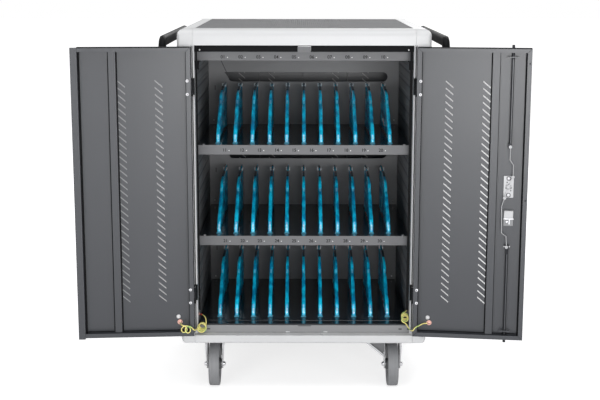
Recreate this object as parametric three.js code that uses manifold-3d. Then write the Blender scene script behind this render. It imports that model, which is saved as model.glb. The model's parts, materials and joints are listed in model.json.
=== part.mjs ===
// Laptop charging cart: a steel cabinet on casters with three levels of ten bays, open double doors in front,
// closed double doors behind, a rod lock in the right front door and earth leads to both front doors.
// Millimetres, z up from the floor, x to the right, y from the front plane to the back.
import * as THREE from 'three';
import { mergeVertices, toCreasedNormals } from 'three/addons/utils/BufferGeometryUtils.js';
import Module from 'manifold-3d';

const wasm = await Module();
wasm.setup();

// Clearances
const SEAT = 0.3;
const PLAY = 0.6;

// Body
const BODY_W = 690;
const BODY_D = 698;
const TOP_Z = 1027;
const BASE_Z = 145;
const SHEET = 1.5;

// Frame of rounded columns and rails
const RAIL_H = 45;
const RAIL_D = 25;
const BOTTOM_RAIL_H = 23.5;
const BOTTOM_RAIL_D = 27;
const COLUMN_W = 45.5;
const COLUMN_D = 50;
const COLUMN_FACE_W = 38;
const CAP_W = 42.8;
const RIM_W = 47.8;
const REBATE_D = 24;
const RIM_R = 22;
const FOOT_R = 16;
const EDGE_R = 12;
const TOE_R = 5;
const MAT_T = 3;
const TOP_PANEL_T = 2.5;
const HOLLOW_WALL = 2.5;
const BASE_PAN_H = 20;
const BASE_PAN_T = 2.5;
const SIDE_INSET = 0.7;
const SIDE_FOLD = 15;

// Inside
const FLOOR_RISE = 23;
const FLOOR_STEP = 7.8;
const LEVELS = 3;
const LIP_Y = 60;
const LIP_H = 27;
const LIP_RISE = 4;
const LIP_FOLD = 14;
const HEADER_DROP = 45;
const HEADER_LAP = 1.4;
const HEADER_H = 26;
const HEADER_D = 18;
const REAR_ROOM = 155.5;
const LINER_GAP = 1.1;
const LINER_T = 1.2;
const RIBS_PER_LEVEL = 5;
const RIB_FIRST = 44;
const RIB_LAST = 55.3;
const RIB_H = 8;
const RIB_RISE = 1.9;
const RIB_END = 40;
const STOP_W = 36;
const STOP_T = 3;
const STOP_H = 14;

// Cable slots of the back wall
const SLOT_LEFT_GAP = 64.6;
const SLOT_RIGHT_GAP = 35.6;
const SLOT_H = 30;
const SLOT_SLANT = 0.47;
const SLOT_RISE_TOP = 134;
const SLOT_RISE = 148;
const SLOT_R = 9;

// Trays and dividers
const TRAY_T = 3;
const TRAY_MARGIN = 2;
const BAYS = 10;
const BAY_MARGIN = 58.2;
const DIVIDER_T = 4;
const DIVIDER_BEAD_W = 9;
const DIVIDER_FRONT = 35.5;
const DIVIDER_TAIL = 61;
const DIVIDER_H = 138;
const DIVIDER_FOOT_W = 15;
const DIVIDER_FOOT_H = 5;
const DIVIDER_FOOT_OVER = 2;
const BEAD_DEPTH = 11;

// Socket strips and inlet
const STRIP_END = 15.6;
const STRIP_H = 50;
const STRIP_D = 40;
const STRIP_RISE = 164;
const OUTLET_W = 34;
const OUTLET_H = 30;
const OUTLET_DEPTH = 12;
const INLET_W = 58;
const INLET_H = 46;
const INLET_FLANGE = 6;
const INLET_FROM_BACK = 98;
const INLET_RISE = 61.5;
const INLET_DEPTH = 26;

// Doors
const DOOR_LAP = 4.2;
const DOOR_MEET = 1.2;
const DOOR_T = 21.6;
const DOOR_INSET = 1;
const DOOR_FOOT_GAP = 7.5;
const DOOR_HEAD_GAP = 3;
const HEM = 12;
const DOOR_LIP_W = 17;
const DOOR_LIP_GAP = 0.6;
const DOOR_LIP_DROP = 3;
const STIFF_FROM_EDGE = 93;
const STIFF_W = 19;
const STIFF_D = 14;
const VENT_ROWS = 33;
const VENT_HEAD = 99.3;
const VENT_FOOT = 105.4;
const VENT_HALF_W = 10.4;
const VENT_HALF_RISE = 8.8;
const VENT_HALF_T = 2.1;
const VENT_FRONT_FROM_HINGE = 86.5;
const VENT_FRONT_FROM_EDGE = 115.5;
const VENT_REAR_FROM_HINGE = 101;
const VENT_REAR_FROM_EDGE = 103.5;
const LEFT_OPEN = 175.6;
const RIGHT_OPEN = 172.8;

// Hinges
const HINGE_OUT = 1.8;
const HINGE_Y = -4.3;
const KNUCKLE_R = 4;
const HINGE_H = 46;
const HINGE_MID = 17.2;
const HINGE_PLAY = 0.4;
const HINGE_HEAD = 110;
const HINGE_FOOT = 112.4;

// Rod lock in the right front door: u runs from the hinge edge, v from the outer skin inwards
const LOCK_EDGE = 50.4;
const LOCK_RISE = 427.9;
const PIN_U = 10.4;
const PIN_Z = 29.1;
const CAM_W = 13;
const CAM_OVER = 2.5;
const CAM_V = 6.6;
const CAM_T = 4;
const PIN_R = 3.4;
const PLATE_W = 26;
const PLATE_H = 60;
const PLATE_T = 4;
const SPINDLE_R = 5;
const ROD_ASIDE = 0.9;
const ROD_V = 12;
const ROD_R = 4;
const ROD_REACH = 9;
const ROD_HOLE_DEPTH = 14;
const ROD_UP = 110.8;
const ROD_DOWN = 165.3;
const LINK_V = 18.4;
const LINK_R = 1.6;
const EYE_R = 4.5;
const GUIDE_W = 28;
const GUIDE_T = 3;
const GUIDE_INSET = 24;
const BLOCK_W = 25.6;
const BLOCK_DROP = 64.5;
const BLOCK_H = 42.4;
const BLOCK_T = 11;
const NECK_W = 12;
const ESCUTCHEON_W = 34;
const ESCUTCHEON_H = 176;
const ESCUTCHEON_T = 3;
const ESCUTCHEON_DROP = 44;
const HANDLE_L = 118;
const HANDLE_W = 18;
const HANDLE_T = 9;
const HANDLE_OFF = 9;

// Rear key lock
const KEY_EDGE = 24.5;
const KEY_RISE = 424;
const KEY_R = 9;
const KEY_HEAD_R = 12;
const KEY_HEAD_T = 3;
const TONGUE_L = 34;
const TONGUE_W = 16;
const TONGUE_T = 2.5;

// Casters
const WHEEL_R = 62.5;
const WHEEL_W = 33;
const WHEEL_SIDES = 24;
const CASTER_EDGE = 89;
const CASTER_Y = 105;
const TRAIL = 35;
const PLATE_LONG = 100;
const PLATE_WIDE = 86;
const PLATE_THICK = 3.5;
const RACE_R = 30;
const RACE_H = 7.4;
const CROWN_R = 38;
const CROWN_T = 5;
const CHEEK_GAP = 2.5;
const CHEEK_T = 3;
const CHEEK_END_R = 14;
const AXLE_R = 5;
const BOLT_R = 8;
const BOLT_H = 4;
const HUB_R = 17;
const PEDAL_L = 60;
const PEDAL_H = 50;
const PEDAL_T = 2;
const PEDAL_FLANGE = 14;
const PEDAL_Y = 44;

// Bow handles
const BOW_OUT = 40;
const BOW_DROP = 35;
const BOW_LOW_DROP = 102;
const BOW_END = 15;
const BOW_R = 28;
const BOW_THIN = 20;
const BOW_WIDE = 30;
const BOW_CORNER = 8;

// Earth leads
const LEAD_R = 1.6;
const LEAD_STEPS = 80;
const COIL_R = 8;
const BUNDLE_R = 10;
const LUG_U = 40;
const LUG_RISE = 34.5;

// Derived positions
const HALF_W = BODY_W / 2;
const OPENING = HALF_W - COLUMN_W;
const RAIL_Z = TOP_Z - RAIL_H;
const SILL_Z = BASE_Z + BOTTOM_RAIL_H;
const REBATE_X = HALF_W - COLUMN_FACE_W;
const CAP_X = HALF_W - CAP_W;
const RIM_X = HALF_W - RIM_W;
const LINER_X = OPENING + LINER_GAP;
const DOOR_EDGE = OPENING + DOOR_LAP;
const DOOR_W = DOOR_EDGE - DOOR_MEET;
const DOOR_Z0 = SILL_Z + DOOR_FOOT_GAP;
const DOOR_Z1 = RAIL_Z - DOOR_HEAD_GAP;
const HINGE_X = DOOR_EDGE + HINGE_OUT;
const HINGE_Z = [DOOR_Z1 - HINGE_HEAD, DOOR_Z0 + HINGE_FOOT];
const HEADER_Z = RAIL_Z - HEADER_DROP;
const FLOOR_Z = SILL_Z + FLOOR_RISE;
const SHELF_PITCH = (HEADER_Z + HEADER_H - HEADER_LAP - FLOOR_Z + FLOOR_STEP) / LEVELS;
const SHELF_TOPS = Array.from({ length: LEVELS }, (_, level) => (
  level === 0 ? FLOOR_Z : FLOOR_Z - FLOOR_STEP + level * SHELF_PITCH
));
const STOP_Y = DOOR_INSET + DOOR_T + DOOR_LIP_GAP + SHEET + PLAY;
const RIB_PITCH = (SHELF_PITCH - RIB_FIRST - RIB_LAST) / (RIBS_PER_LEVEL - 1);
const WALL_Y = BODY_D - REAR_ROOM;
const BAY_PITCH = (2 * (LINER_X - BAY_MARGIN)) / BAYS;
const STRIP_HALF_W = LINER_X - STRIP_END;
const INLET_Y = BODY_D - INLET_FROM_BACK;
const INLET_Z = SILL_Z + INLET_RISE;
const VENT_FIRST_Z = DOOR_Z1 - VENT_HEAD;
const VENT_PITCH = (VENT_FIRST_Z - DOOR_Z0 - VENT_FOOT) / (VENT_ROWS - 1);
const VENTS_FRONT = [VENT_FRONT_FROM_HINGE, DOOR_W - VENT_FRONT_FROM_EDGE];
const VENTS_REAR = [VENT_REAR_FROM_HINGE, DOOR_W - VENT_REAR_FROM_EDGE];
const STIFF_FRONT = DOOR_W - STIFF_FROM_EDGE;
const STIFF_REAR = (VENTS_REAR[0] + VENTS_REAR[1]) / 2;
const LOCK_U = DOOR_W - LOCK_EDGE;
const LOCK_Z = DOOR_Z0 + LOCK_RISE;
const ROD_U = LOCK_U + ROD_ASIDE;
const ROD_TOP_END = LOCK_Z + ROD_UP;
const ROD_LOW_END = LOCK_Z - ROD_DOWN;
const BLOCK_Z = [LOCK_Z - BLOCK_DROP - BLOCK_H, LOCK_Z - BLOCK_DROP];
const KEY_U = DOOR_W - KEY_EDGE;
const KEY_Z = DOOR_Z0 + KEY_RISE;
const CASTER_X = HALF_W - CASTER_EDGE;
const BOW_Z = TOP_Z - BOW_DROP;
const BOW_LOW_Z = TOP_Z - BOW_LOW_DROP;
const LUG_Z = DOOR_Z0 + LUG_RISE;

// Colours
const paint = (color, roughness, metalness) => new THREE.MeshStandardMaterial({ color, roughness, metalness });
const LIGHT_GREY = paint(0xd9dadb, 0.45, 0.1);
const ANTHRACITE = paint(0x5b5d62, 0.5, 0.2);
const DARK = paint(0x3a3b3f, 0.55, 0.2);
const MAT = paint(0x87888a, 0.8, 0);
const BLACK = paint(0x17181a, 0.5, 0);
const BLUE = paint(0x1583ad, 0.25, 0);
const ZINC = paint(0xbfc3c7, 0.35, 0.9);
const TYRE = paint(0x9a9b9e, 0.7, 0);
const LEAD = paint(0xc9c93a, 0.5, 0);

// Turns a closed surface into a solid for joining and cutting.
function solid(geometry) {
  const plain = geometry.clone();
  plain.deleteAttribute('normal');
  plain.deleteAttribute('uv');
  const merged = mergeVertices(plain, 1e-4);
  const vertProperties = Float32Array.from(merged.attributes.position.array);
  const triVerts = Uint32Array.from(merged.index.array);
  return new wasm.Manifold(new wasm.Mesh({ numProp: 3, vertProperties, triVerts }));
}

const join = (pieces) => pieces.reduce((sum, piece) => sum.add(piece));
const cut = (body, tools) => tools.reduce((rest, tool) => rest.subtract(tool), body);

// A box between two limits along each axis, given in any order.
function box(x, y, z) {
  const geometry = new THREE.BoxGeometry(1, 1, 1);
  const corners = geometry.attributes.position;
  [x, y, z].forEach((limits, axis) => {
    for (let i = 0; i < corners.count; i += 1) {
      const isLow = corners.getComponent(i, axis) < 0;
      corners.setComponent(i, axis, isLow ? Math.min(...limits) : Math.max(...limits));
    }
  });
  return solid(geometry);
}

// A prism along one axis. Outlines are [y, z] for axis x, [x, z] for axis y and [x, y] for axis z.
function prism(axis, outline, limits) {
  const order = (points) => points.map(([a, b]) => (axis === 'y' ? new THREE.Vector2(b, a) : new THREE.Vector2(a, b)));
  const shape = new THREE.Shape(order(outline));
  const geometry = new THREE.ExtrudeGeometry(shape, { depth: 1, bevelEnabled: false });
  const corners = geometry.attributes.position;
  for (let i = 0; i < corners.count; i += 1) {
    corners.setZ(i, corners.getZ(i) < 0.5 ? Math.min(...limits) : Math.max(...limits));
  }
  const ex = new THREE.Vector3(1, 0, 0);
  const ey = new THREE.Vector3(0, 1, 0);
  const ez = new THREE.Vector3(0, 0, 1);
  const basis = new THREE.Matrix4();
  if (axis === 'x') {
    basis.makeBasis(ey, ez, ex);
  } else if (axis === 'y') {
    basis.makeBasis(ez, ex, ey);
  }
  geometry.applyMatrix4(basis);
  return solid(geometry);
}

// A cylinder along one axis through a centre given on the other two axes.
function rod(axis, centre, limits, radius, sides) {
  const outline = [];
  for (let i = 0; i < sides; i += 1) {
    const angle = (2 * Math.PI * (i + 0.5)) / sides;
    outline.push([centre[0] + radius * Math.cos(angle), centre[1] + radius * Math.sin(angle)]);
  }
  return prism(axis, outline, limits);
}

// Points of a quarter round from one direction to another around a centre.
function arc(cx, cy, radius, fromDeg, toDeg, steps) {
  const points = [];
  for (let i = 0; i <= steps; i += 1) {
    const angle = THREE.MathUtils.degToRad(fromDeg + ((toDeg - fromDeg) * i) / steps);
    points.push([cx + radius * Math.cos(angle), cy + radius * Math.sin(angle)]);
  }
  return points;
}

// An outline of straight lines with every corner rounded.
function rounded(x0, x1, y0, y1, radius, steps) {
  return [
    ...arc(x1 - radius, y0 + radius, radius, -90, 0, steps),
    ...arc(x1 - radius, y1 - radius, radius, 0, 90, steps),
    ...arc(x0 + radius, y1 - radius, radius, 90, 180, steps),
    ...arc(x0 + radius, y0 + radius, radius, 180, 270, steps),
  ];
}

// Carries one outline along a path of points, keeping it from twisting.
function sweep(path, outline, firstAxis) {
  const count = path.length;
  const around = outline.length;
  const tangents = path.map((_, i) => {
    const before = path[Math.max(i - 1, 0)];
    const after = path[Math.min(i + 1, count - 1)];
    return after.clone().sub(before).normalize();
  });
  const across = firstAxis.clone();
  const positions = [];
  for (let i = 0; i < count; i += 1) {
    across.addScaledVector(tangents[i], -across.dot(tangents[i])).normalize();
    const second = tangents[i].clone().cross(across);
    outline.forEach(([a, b]) => {
      const point = path[i].clone().addScaledVector(across, a).addScaledVector(second, b);
      positions.push(point.x, point.y, point.z);
    });
  }
  const index = [];
  for (let i = 0; i + 1 < count; i += 1) {
    for (let j = 0; j < around; j += 1) {
      const a = i * around + j;
      const b = i * around + ((j + 1) % around);
      index.push(a, b, a + around, b, b + around, a + around);
    }
  }
  const last = (count - 1) * around;
  for (let j = 1; j + 1 < around; j += 1) {
    index.push(0, j + 1, j, last, last + j, last + j + 1);
  }
  const geometry = new THREE.BufferGeometry();
  geometry.setAttribute('position', new THREE.Float32BufferAttribute(positions, 3));
  geometry.setIndex(index);
  return solid(geometry);
}

// Replaces each inner corner of a path by a bend of the given radius.
function bentPath(corners, radius, steps) {
  const path = [corners[0].clone()];
  for (let i = 1; i + 1 < corners.length; i += 1) {
    const back = corners[i - 1].clone().sub(corners[i]).normalize();
    const ahead = corners[i + 1].clone().sub(corners[i]).normalize();
    for (let k = 0; k <= steps; k += 1) {
      const angle = (Math.PI / 2) * (k / steps);
      path.push(
        corners[i].clone()
          .addScaledVector(back, radius * (1 - Math.sin(angle)))
          .addScaledVector(ahead, radius * (1 - Math.cos(angle))),
      );
    }
  }
  path.push(corners[corners.length - 1].clone());
  return path;
}

const cart = new THREE.Group();
cart.name = 'laptop_charging_cart';

// Adds one finished piece, turned about an upright line when a door carries it.
function piece(name, body, material, turn) {
  const data = body.getMesh();
  const geometry = new THREE.BufferGeometry();
  geometry.setAttribute('position', new THREE.Float32BufferAttribute(data.vertProperties, 3));
  geometry.setIndex(new THREE.Uint32BufferAttribute(data.triVerts, 1));
  if (turn) {
    geometry.applyMatrix4(turn);
  }
  const mesh = new THREE.Mesh(toCreasedNormals(geometry, 0.6), material);
  mesh.name = name;
  cart.add(mesh);
}

const SIDES = [['left', -1], ['right', 1]];
const ENDS = ['front', 'rear'];

// What stands at the rear is the front layout turned half round the middle of the body.
const HALF_TURN = new THREE.Matrix4().makeTranslation(0, BODY_D, 0)
  .multiply(new THREE.Matrix4().makeRotationZ(Math.PI));
const FRONT_SIDE = { front: 1, rear: -1 };
const END_TURN = { front: undefined, rear: HALF_TURN };

// A hinge knuckle round the door's turning line, with a leaf that runs back to two points.
function knuckle(side, leaf, span) {
  const rolled = arc(side * HINGE_X, HINGE_Y, KNUCKLE_R, 180, 360, 5);
  const order = leaf[0][0] < leaf[1][0] ? [leaf[1], leaf[0]] : leaf;
  return prism('z', [...rolled, ...order], span);
}

// Corner columns, hollow from below: a rebate for the door, a rounded cap, a rounded foot, and fixed hinge knuckles.
function column(side) {
  const place = (points) => points.map(([x, y]) => [side * x, y]);
  const shaft = prism('z', place([
    [REBATE_X, 0],
    ...arc(HALF_W - EDGE_R, EDGE_R, EDGE_R, -90, 0, 4),
    [HALF_W, COLUMN_D],
    [OPENING, COLUMN_D],
    [OPENING, REBATE_D],
    [REBATE_X, REBATE_D],
  ]), [BASE_Z, RAIL_Z]);
  const cap = prism('z', place([
    [CAP_X, 0],
    ...arc(HALF_W - EDGE_R, EDGE_R, EDGE_R, -90, 0, 4),
    [HALF_W, COLUMN_D],
    [RIM_X, COLUMN_D],
    [RIM_X, RAIL_D + SEAT],
    [CAP_X, RAIL_D + SEAT],
  ]), [RAIL_Z, TOP_Z]);
  const faceMask = prism('y', [
    [side * (OPENING - COLUMN_W), BASE_Z],
    ...arc(HALF_W - FOOT_R, BASE_Z + FOOT_R, FOOT_R, -90, 0, 4).map(([x, z]) => [side * x, z]),
    ...arc(HALF_W - RIM_R, TOP_Z - RIM_R, RIM_R, 0, 90, 5).map(([x, z]) => [side * x, z]),
    [side * (OPENING - COLUMN_W), TOP_Z],
  ], [0, COLUMN_D]);
  const sideMask = prism('x', [
    ...arc(TOE_R, BASE_Z + TOE_R, TOE_R, 180, 270, 3),
    [COLUMN_D, BASE_Z],
    [COLUMN_D, TOP_Z],
    ...arc(RIM_R, TOP_Z - RIM_R, RIM_R, 90, 180, 5),
  ], [side * (OPENING - COLUMN_W), side * HALF_W]);
  const knuckles = [];
  HINGE_Z.forEach((centre) => {
    [-1, 1].forEach((end) => {
      const span = [centre + end * (HINGE_MID / 2 + HINGE_PLAY), centre + (end * HINGE_H) / 2];
      const leaf = [[side * HINGE_X, SHEET], [side * (REBATE_X + KNUCKLE_R), SHEET]];
      knuckles.push(knuckle(side, leaf, span));
    });
  });
  const outerX = HALF_W - FOOT_R - HOLLOW_WALL;
  const hollow = prism('z', place([
    [REBATE_X + HOLLOW_WALL, TOE_R + HOLLOW_WALL],
    [outerX, TOE_R + HOLLOW_WALL],
    [outerX, COLUMN_D - HOLLOW_WALL],
    [OPENING + HOLLOW_WALL, COLUMN_D - HOLLOW_WALL],
    [OPENING + HOLLOW_WALL, REBATE_D + HOLLOW_WALL],
    [REBATE_X + HOLLOW_WALL, REBATE_D + HOLLOW_WALL],
  ]), [BASE_Z - 1, RAIL_Z - HOLLOW_WALL]);
  const post = cut(shaft.add(cap).intersect(faceMask).intersect(sideMask), [hollow]);
  return join([post, ...knuckles]);
}

// Bolt holes for the lock rods stand over and under the closed right front door.
const ROD_X = DOOR_EDGE - ROD_U;
const ROD_Y = DOOR_INSET + ROD_V;
const ROD_HOLE_R = ROD_R + 1.5;

ENDS.forEach((end) => {
  SIDES.forEach(([name, side]) => {
    piece(`${end}_column_${name}`, column(side * FRONT_SIDE[end]), LIGHT_GREY, END_TURN[end]);
  });
  const topProfile = [
    [0, RAIL_Z],
    [RAIL_D, RAIL_Z],
    [RAIL_D, TOP_Z],
    ...arc(RIM_R, TOP_Z - RIM_R, RIM_R, 90, 180, 5),
  ];
  const bottomProfile = [
    ...arc(TOE_R, BASE_Z + TOE_R, TOE_R, 180, 270, 3),
    [BOTTOM_RAIL_D, BASE_Z],
    [BOTTOM_RAIL_D, SILL_Z],
    [0, SILL_Z],
  ];
  const topSpan = CAP_X - SEAT;
  const bottomSpan = OPENING - SEAT;
  let topRail = prism('x', topProfile, [-topSpan, topSpan]);
  let bottomRail = prism('x', bottomProfile, [-bottomSpan, bottomSpan]);
  if (end === 'front') {
    const high = rod('z', [ROD_X, ROD_Y], [RAIL_Z - 1, RAIL_Z + ROD_HOLE_DEPTH], ROD_HOLE_R, 10);
    const low = rod('z', [ROD_X, ROD_Y], [SILL_Z - ROD_HOLE_DEPTH, SILL_Z + 1], ROD_HOLE_R, 10);
    topRail = cut(topRail, [high]);
    bottomRail = cut(bottomRail, [low]);
  }
  piece(`top_rail_${end}`, topRail, LIGHT_GREY, END_TURN[end]);
  piece(`bottom_rail_${end}`, bottomRail, LIGHT_GREY, END_TURN[end]);
});

// Side rims of the top, open below, outer side panels and ribbed side liners.
const BETWEEN = [COLUMN_D + SEAT, BODY_D - COLUMN_D - SEAT];
SIDES.forEach(([name, side]) => {
  const rim = prism('y', [
    [RIM_X, RAIL_Z],
    [HALF_W, RAIL_Z],
    ...arc(HALF_W - RIM_R, TOP_Z - RIM_R, RIM_R, 0, 90, 5),
    [RIM_X, TOP_Z],
  ].map(([x, z]) => [side * x, z]), BETWEEN);
  const rimHollow = box(
    [side * (RIM_X + HOLLOW_WALL), side * (HALF_W - HOLLOW_WALL)],
    [BETWEEN[0] + HOLLOW_WALL, BETWEEN[1] - HOLLOW_WALL],
    [RAIL_Z - 1, TOP_Z - RIM_R],
  );
  piece(`top_rail_${name}`, cut(rim, [rimHollow]), LIGHT_GREY);

  const outer = HALF_W - SIDE_INSET;
  const panelZ = [SILL_Z + SEAT, RAIL_Z - SEAT];
  let panel = prism('z', [
    [outer, BETWEEN[0]],
    [outer, BETWEEN[1]],
    [outer - SIDE_FOLD, BETWEEN[1]],
    [outer - SIDE_FOLD, BETWEEN[1] - SHEET],
    [outer - SHEET, BETWEEN[1] - SHEET],
    [outer - SHEET, BETWEEN[0] + SHEET],
    [outer - SIDE_FOLD, BETWEEN[0] + SHEET],
    [outer - SIDE_FOLD, BETWEEN[0]],
  ].map(([x, y]) => [side * x, y]), panelZ);
  if (name === 'right') {
    const window = box(
      [side * (outer - 2 * SHEET), side * (outer + SHEET)],
      [INLET_Y - INLET_W / 2 - SEAT, INLET_Y + INLET_W / 2 + SEAT],
      [INLET_Z - INLET_H / 2 - SEAT, INLET_Z + INLET_H / 2 + SEAT],
    );
    panel = cut(panel, [window]);
  }
  piece(`side_panel_${name}`, panel, ANTHRACITE);

  const sheet = box([side * LINER_X, side * (LINER_X + LINER_T)], [COLUMN_D + SEAT, WALL_Y + SHEET], panelZ);
  const ribs = [];
  SHELF_TOPS.forEach((top) => {
    for (let k = 0; k < RIBS_PER_LEVEL; k += 1) {
      const z = top + RIB_FIRST + k * RIB_PITCH;
      ribs.push(prism('y', [
        [side * (LINER_X + LINER_T / 2), z - RIB_H / 2 - RIB_RISE],
        [side * (LINER_X - RIB_RISE), z - RIB_H / 2],
        [side * (LINER_X - RIB_RISE), z + RIB_H / 2],
        [side * (LINER_X + LINER_T / 2), z + RIB_H / 2 + RIB_RISE],
      ], [LIP_Y + RIB_END, WALL_Y - RIB_END / 2]));
    }
  });
  piece(`side_liner_${name}`, join([sheet, ...ribs]), DARK);
});

// Top panel with its mat, and the chassis: a pan between the bottom rails with a rail on each side.
const topLimits = [RAIL_D + SEAT, BODY_D - RAIL_D - SEAT];
const topHalf = RIM_X - SEAT;
const panelTop = TOP_Z - MAT_T - SEAT;
piece('top_panel', box([-topHalf, topHalf], topLimits, [panelTop - TOP_PANEL_T, panelTop]), DARK);
piece('top_mat', prism('z', rounded(-topHalf, topHalf, topLimits[0], topLimits[1], 4, 2), [TOP_Z - MAT_T, TOP_Z]), MAT);
const panY = [BOTTOM_RAIL_D + SEAT, BODY_D - BOTTOM_RAIL_D - SEAT];
const panX = OPENING - SEAT;
const pan = box([-panX, panX], panY, [BASE_Z, BASE_Z + BASE_PAN_H]);
const panHollow = box(
  [-panX + BASE_PAN_T, panX - BASE_PAN_T],
  [panY[0] + BASE_PAN_T, panY[1] - BASE_PAN_T],
  [BASE_Z + BASE_PAN_T, BASE_Z + 2 * BASE_PAN_H],
);
const sideRails = SIDES.map(([, side]) => prism('y', [
  [panX - BASE_PAN_T, BASE_Z],
  ...arc(HALF_W - FOOT_R, BASE_Z + FOOT_R, FOOT_R, -90, 0, 4),
  [HALF_W, SILL_Z],
  [panX - BASE_PAN_T, SILL_Z],
].map(([x, z]) => [side * x, z]), BETWEEN));
piece('chassis', join([cut(pan, [panHollow]), ...sideRails]), LIGHT_GREY);

// Header beam over the front, with the stop for the door lip, the shelves with their front lips, and the floor,
// which folds down in front of the bottom rail as a sill for the doors.
const shelfHalf = LINER_X - SEAT;
const floorHalf = panX - BASE_PAN_T - SEAT;
const headerTop = HEADER_Z + HEADER_H;
const header = prism('x', [
  [LIP_Y, HEADER_Z],
  [LIP_Y + HEADER_D, HEADER_Z],
  [LIP_Y + HEADER_D, HEADER_Z + SHEET],
  [LIP_Y + SHEET, HEADER_Z + SHEET],
  [LIP_Y + SHEET, headerTop - SHEET],
  [LIP_Y + HEADER_D, headerTop - SHEET],
  [LIP_Y + HEADER_D, headerTop],
  [LIP_Y, headerTop],
], [-shelfHalf, shelfHalf]);
const stopArm = box([-STOP_W / 2, STOP_W / 2], [STOP_Y, LIP_Y + HEADER_D / 2], [headerTop - SHEET, headerTop + STOP_T]);
const stopFace = box(
  [-STOP_W / 2, STOP_W / 2],
  [STOP_Y, STOP_Y + STOP_T],
  [headerTop - SHEET, headerTop + STOP_H],
);
piece('header_beam', join([header, stopArm, stopFace]), ANTHRACITE);

function shelf(top) {
  const plate = top - LIP_RISE;
  return prism('x', [
    [LIP_Y, top],
    [LIP_Y, top - LIP_H],
    [LIP_Y + LIP_FOLD, top - LIP_H],
    [LIP_Y + LIP_FOLD, top - LIP_H + SHEET],
    [LIP_Y + SHEET, top - LIP_H + SHEET],
    [LIP_Y + SHEET, plate - SHEET],
    [WALL_Y - SEAT, plate - SHEET],
    [WALL_Y - SEAT, plate],
    [LIP_Y + SHEET, plate],
    [LIP_Y + SHEET, top],
  ], [-shelfHalf, shelfHalf]);
}
function baseFloor() {
  return prism('x', [
    [STOP_Y, FLOOR_Z],
    [STOP_Y, SILL_Z + SEAT],
    [STOP_Y + SHEET, SILL_Z + SEAT],
    [STOP_Y + SHEET, FLOOR_Z - SHEET],
    [WALL_Y - SEAT, FLOOR_Z - SHEET],
    [WALL_Y - SEAT, FLOOR_Z],
  ], [-panX, panX]);
}
const LEVEL_NAMES = ['lower', 'middle', 'upper'];
SHELF_TOPS.forEach((top, level) => {
  piece(`shelf_${LEVEL_NAMES[level]}`, level === 0 ? baseFloor() : shelf(top), ANTHRACITE);
});

// Back wall between the bays and the rear compartment. Each level has a cable slot, slanted left and round right.
const slotLeft = -(LINER_X - SLOT_LEFT_GAP);
const slotRight = LINER_X - SLOT_RIGHT_GAP;
const slots = SHELF_TOPS.map((top, level) => {
  const low = top + (level === LEVELS - 1 ? SLOT_RISE_TOP : SLOT_RISE);
  const half = SLOT_H / 2;
  const outline = [
    ...arc(slotRight - half, low + half, half, -90, 90, 8),
    [slotLeft - SLOT_SLANT * SLOT_H, low + SLOT_H],
    ...arc(slotLeft + SLOT_R, low + SLOT_R, SLOT_R, 180, 270, 3),
  ];
  return prism('y', outline, [WALL_Y - SHEET, WALL_Y + 2 * SHEET]);
});
const wallParts = [
  [floorHalf, BASE_Z + BASE_PAN_T + SEAT, SILL_Z + 1],
  [shelfHalf, SILL_Z + SEAT, RAIL_Z - SEAT],
  [topHalf, RAIL_Z - 1, panelTop - TOP_PANEL_T - SEAT],
].map(([half, low, high]) => box([-half, half], [WALL_Y, WALL_Y + SHEET], [low, high]));
piece('back_wall', cut(join(wallParts), slots), ANTHRACITE);

// A tray with its eleven fin-shaped dividers: low in front, tall at the back, a bead along the front edge.
const finCurve = [
  [0, 0.02], [0, 0.16], [8, 0.33], [30, 0.47], [84, 0.67], [145, 0.83], [215, 0.94], [310, 1],
];
const beadCurve = finCurve.filter((_, i) => i % 2 === 0 || i === finCurve.length - 1);
function tray(carrier) {
  const floor = carrier + SEAT;
  const upper = floor + TRAY_T;
  const front = LIP_Y + SHEET + TRAY_MARGIN;
  const half = shelfHalf - TRAY_MARGIN;
  const plate = box([-half, half], [front, WALL_Y - TRAY_MARGIN], [floor, upper]);
  const y0 = front + DIVIDER_FRONT;
  const edge = finCurve.map(([y, h]) => [y0 + y, upper + h * DIVIDER_H]);
  const inner = beadCurve.map(([y, h]) => [y0 + y + BEAD_DEPTH * (1.1 - 0.6 * h), upper + (h - 0.075 * h) * DIVIDER_H]);
  const back = WALL_Y - DIVIDER_TAIL;
  const parts = [plate];
  for (let i = 0; i <= BAYS; i += 1) {
    const x = (i - BAYS / 2) * BAY_PITCH;
    const blade = [[y0, upper - 1], [back, upper - 1], [back, upper + DIVIDER_H], ...[...edge].reverse()];
    parts.push(prism('x', blade, [x - DIVIDER_T / 2, x + DIVIDER_T / 2]));
    const bead = [[y0, upper - 1], [y0 + BEAD_DEPTH, upper - 1], ...inner, ...[...edge].reverse()];
    parts.push(prism('x', bead, [x - DIVIDER_BEAD_W / 2, x + DIVIDER_BEAD_W / 2]));
    parts.push(box(
      [x - DIVIDER_FOOT_W / 2, x + DIVIDER_FOOT_W / 2],
      [y0 - DIVIDER_FOOT_OVER, y0 + 2 * BEAD_DEPTH],
      [upper - 1, upper + DIVIDER_FOOT_H],
    ));
  }
  return join(parts);
}
SHELF_TOPS.forEach((top, level) => {
  const plate = level === 0 ? top : top - LIP_RISE;
  piece(`divider_tray_${LEVEL_NAMES[level]}`, tray(plate), BLUE);
});

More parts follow.
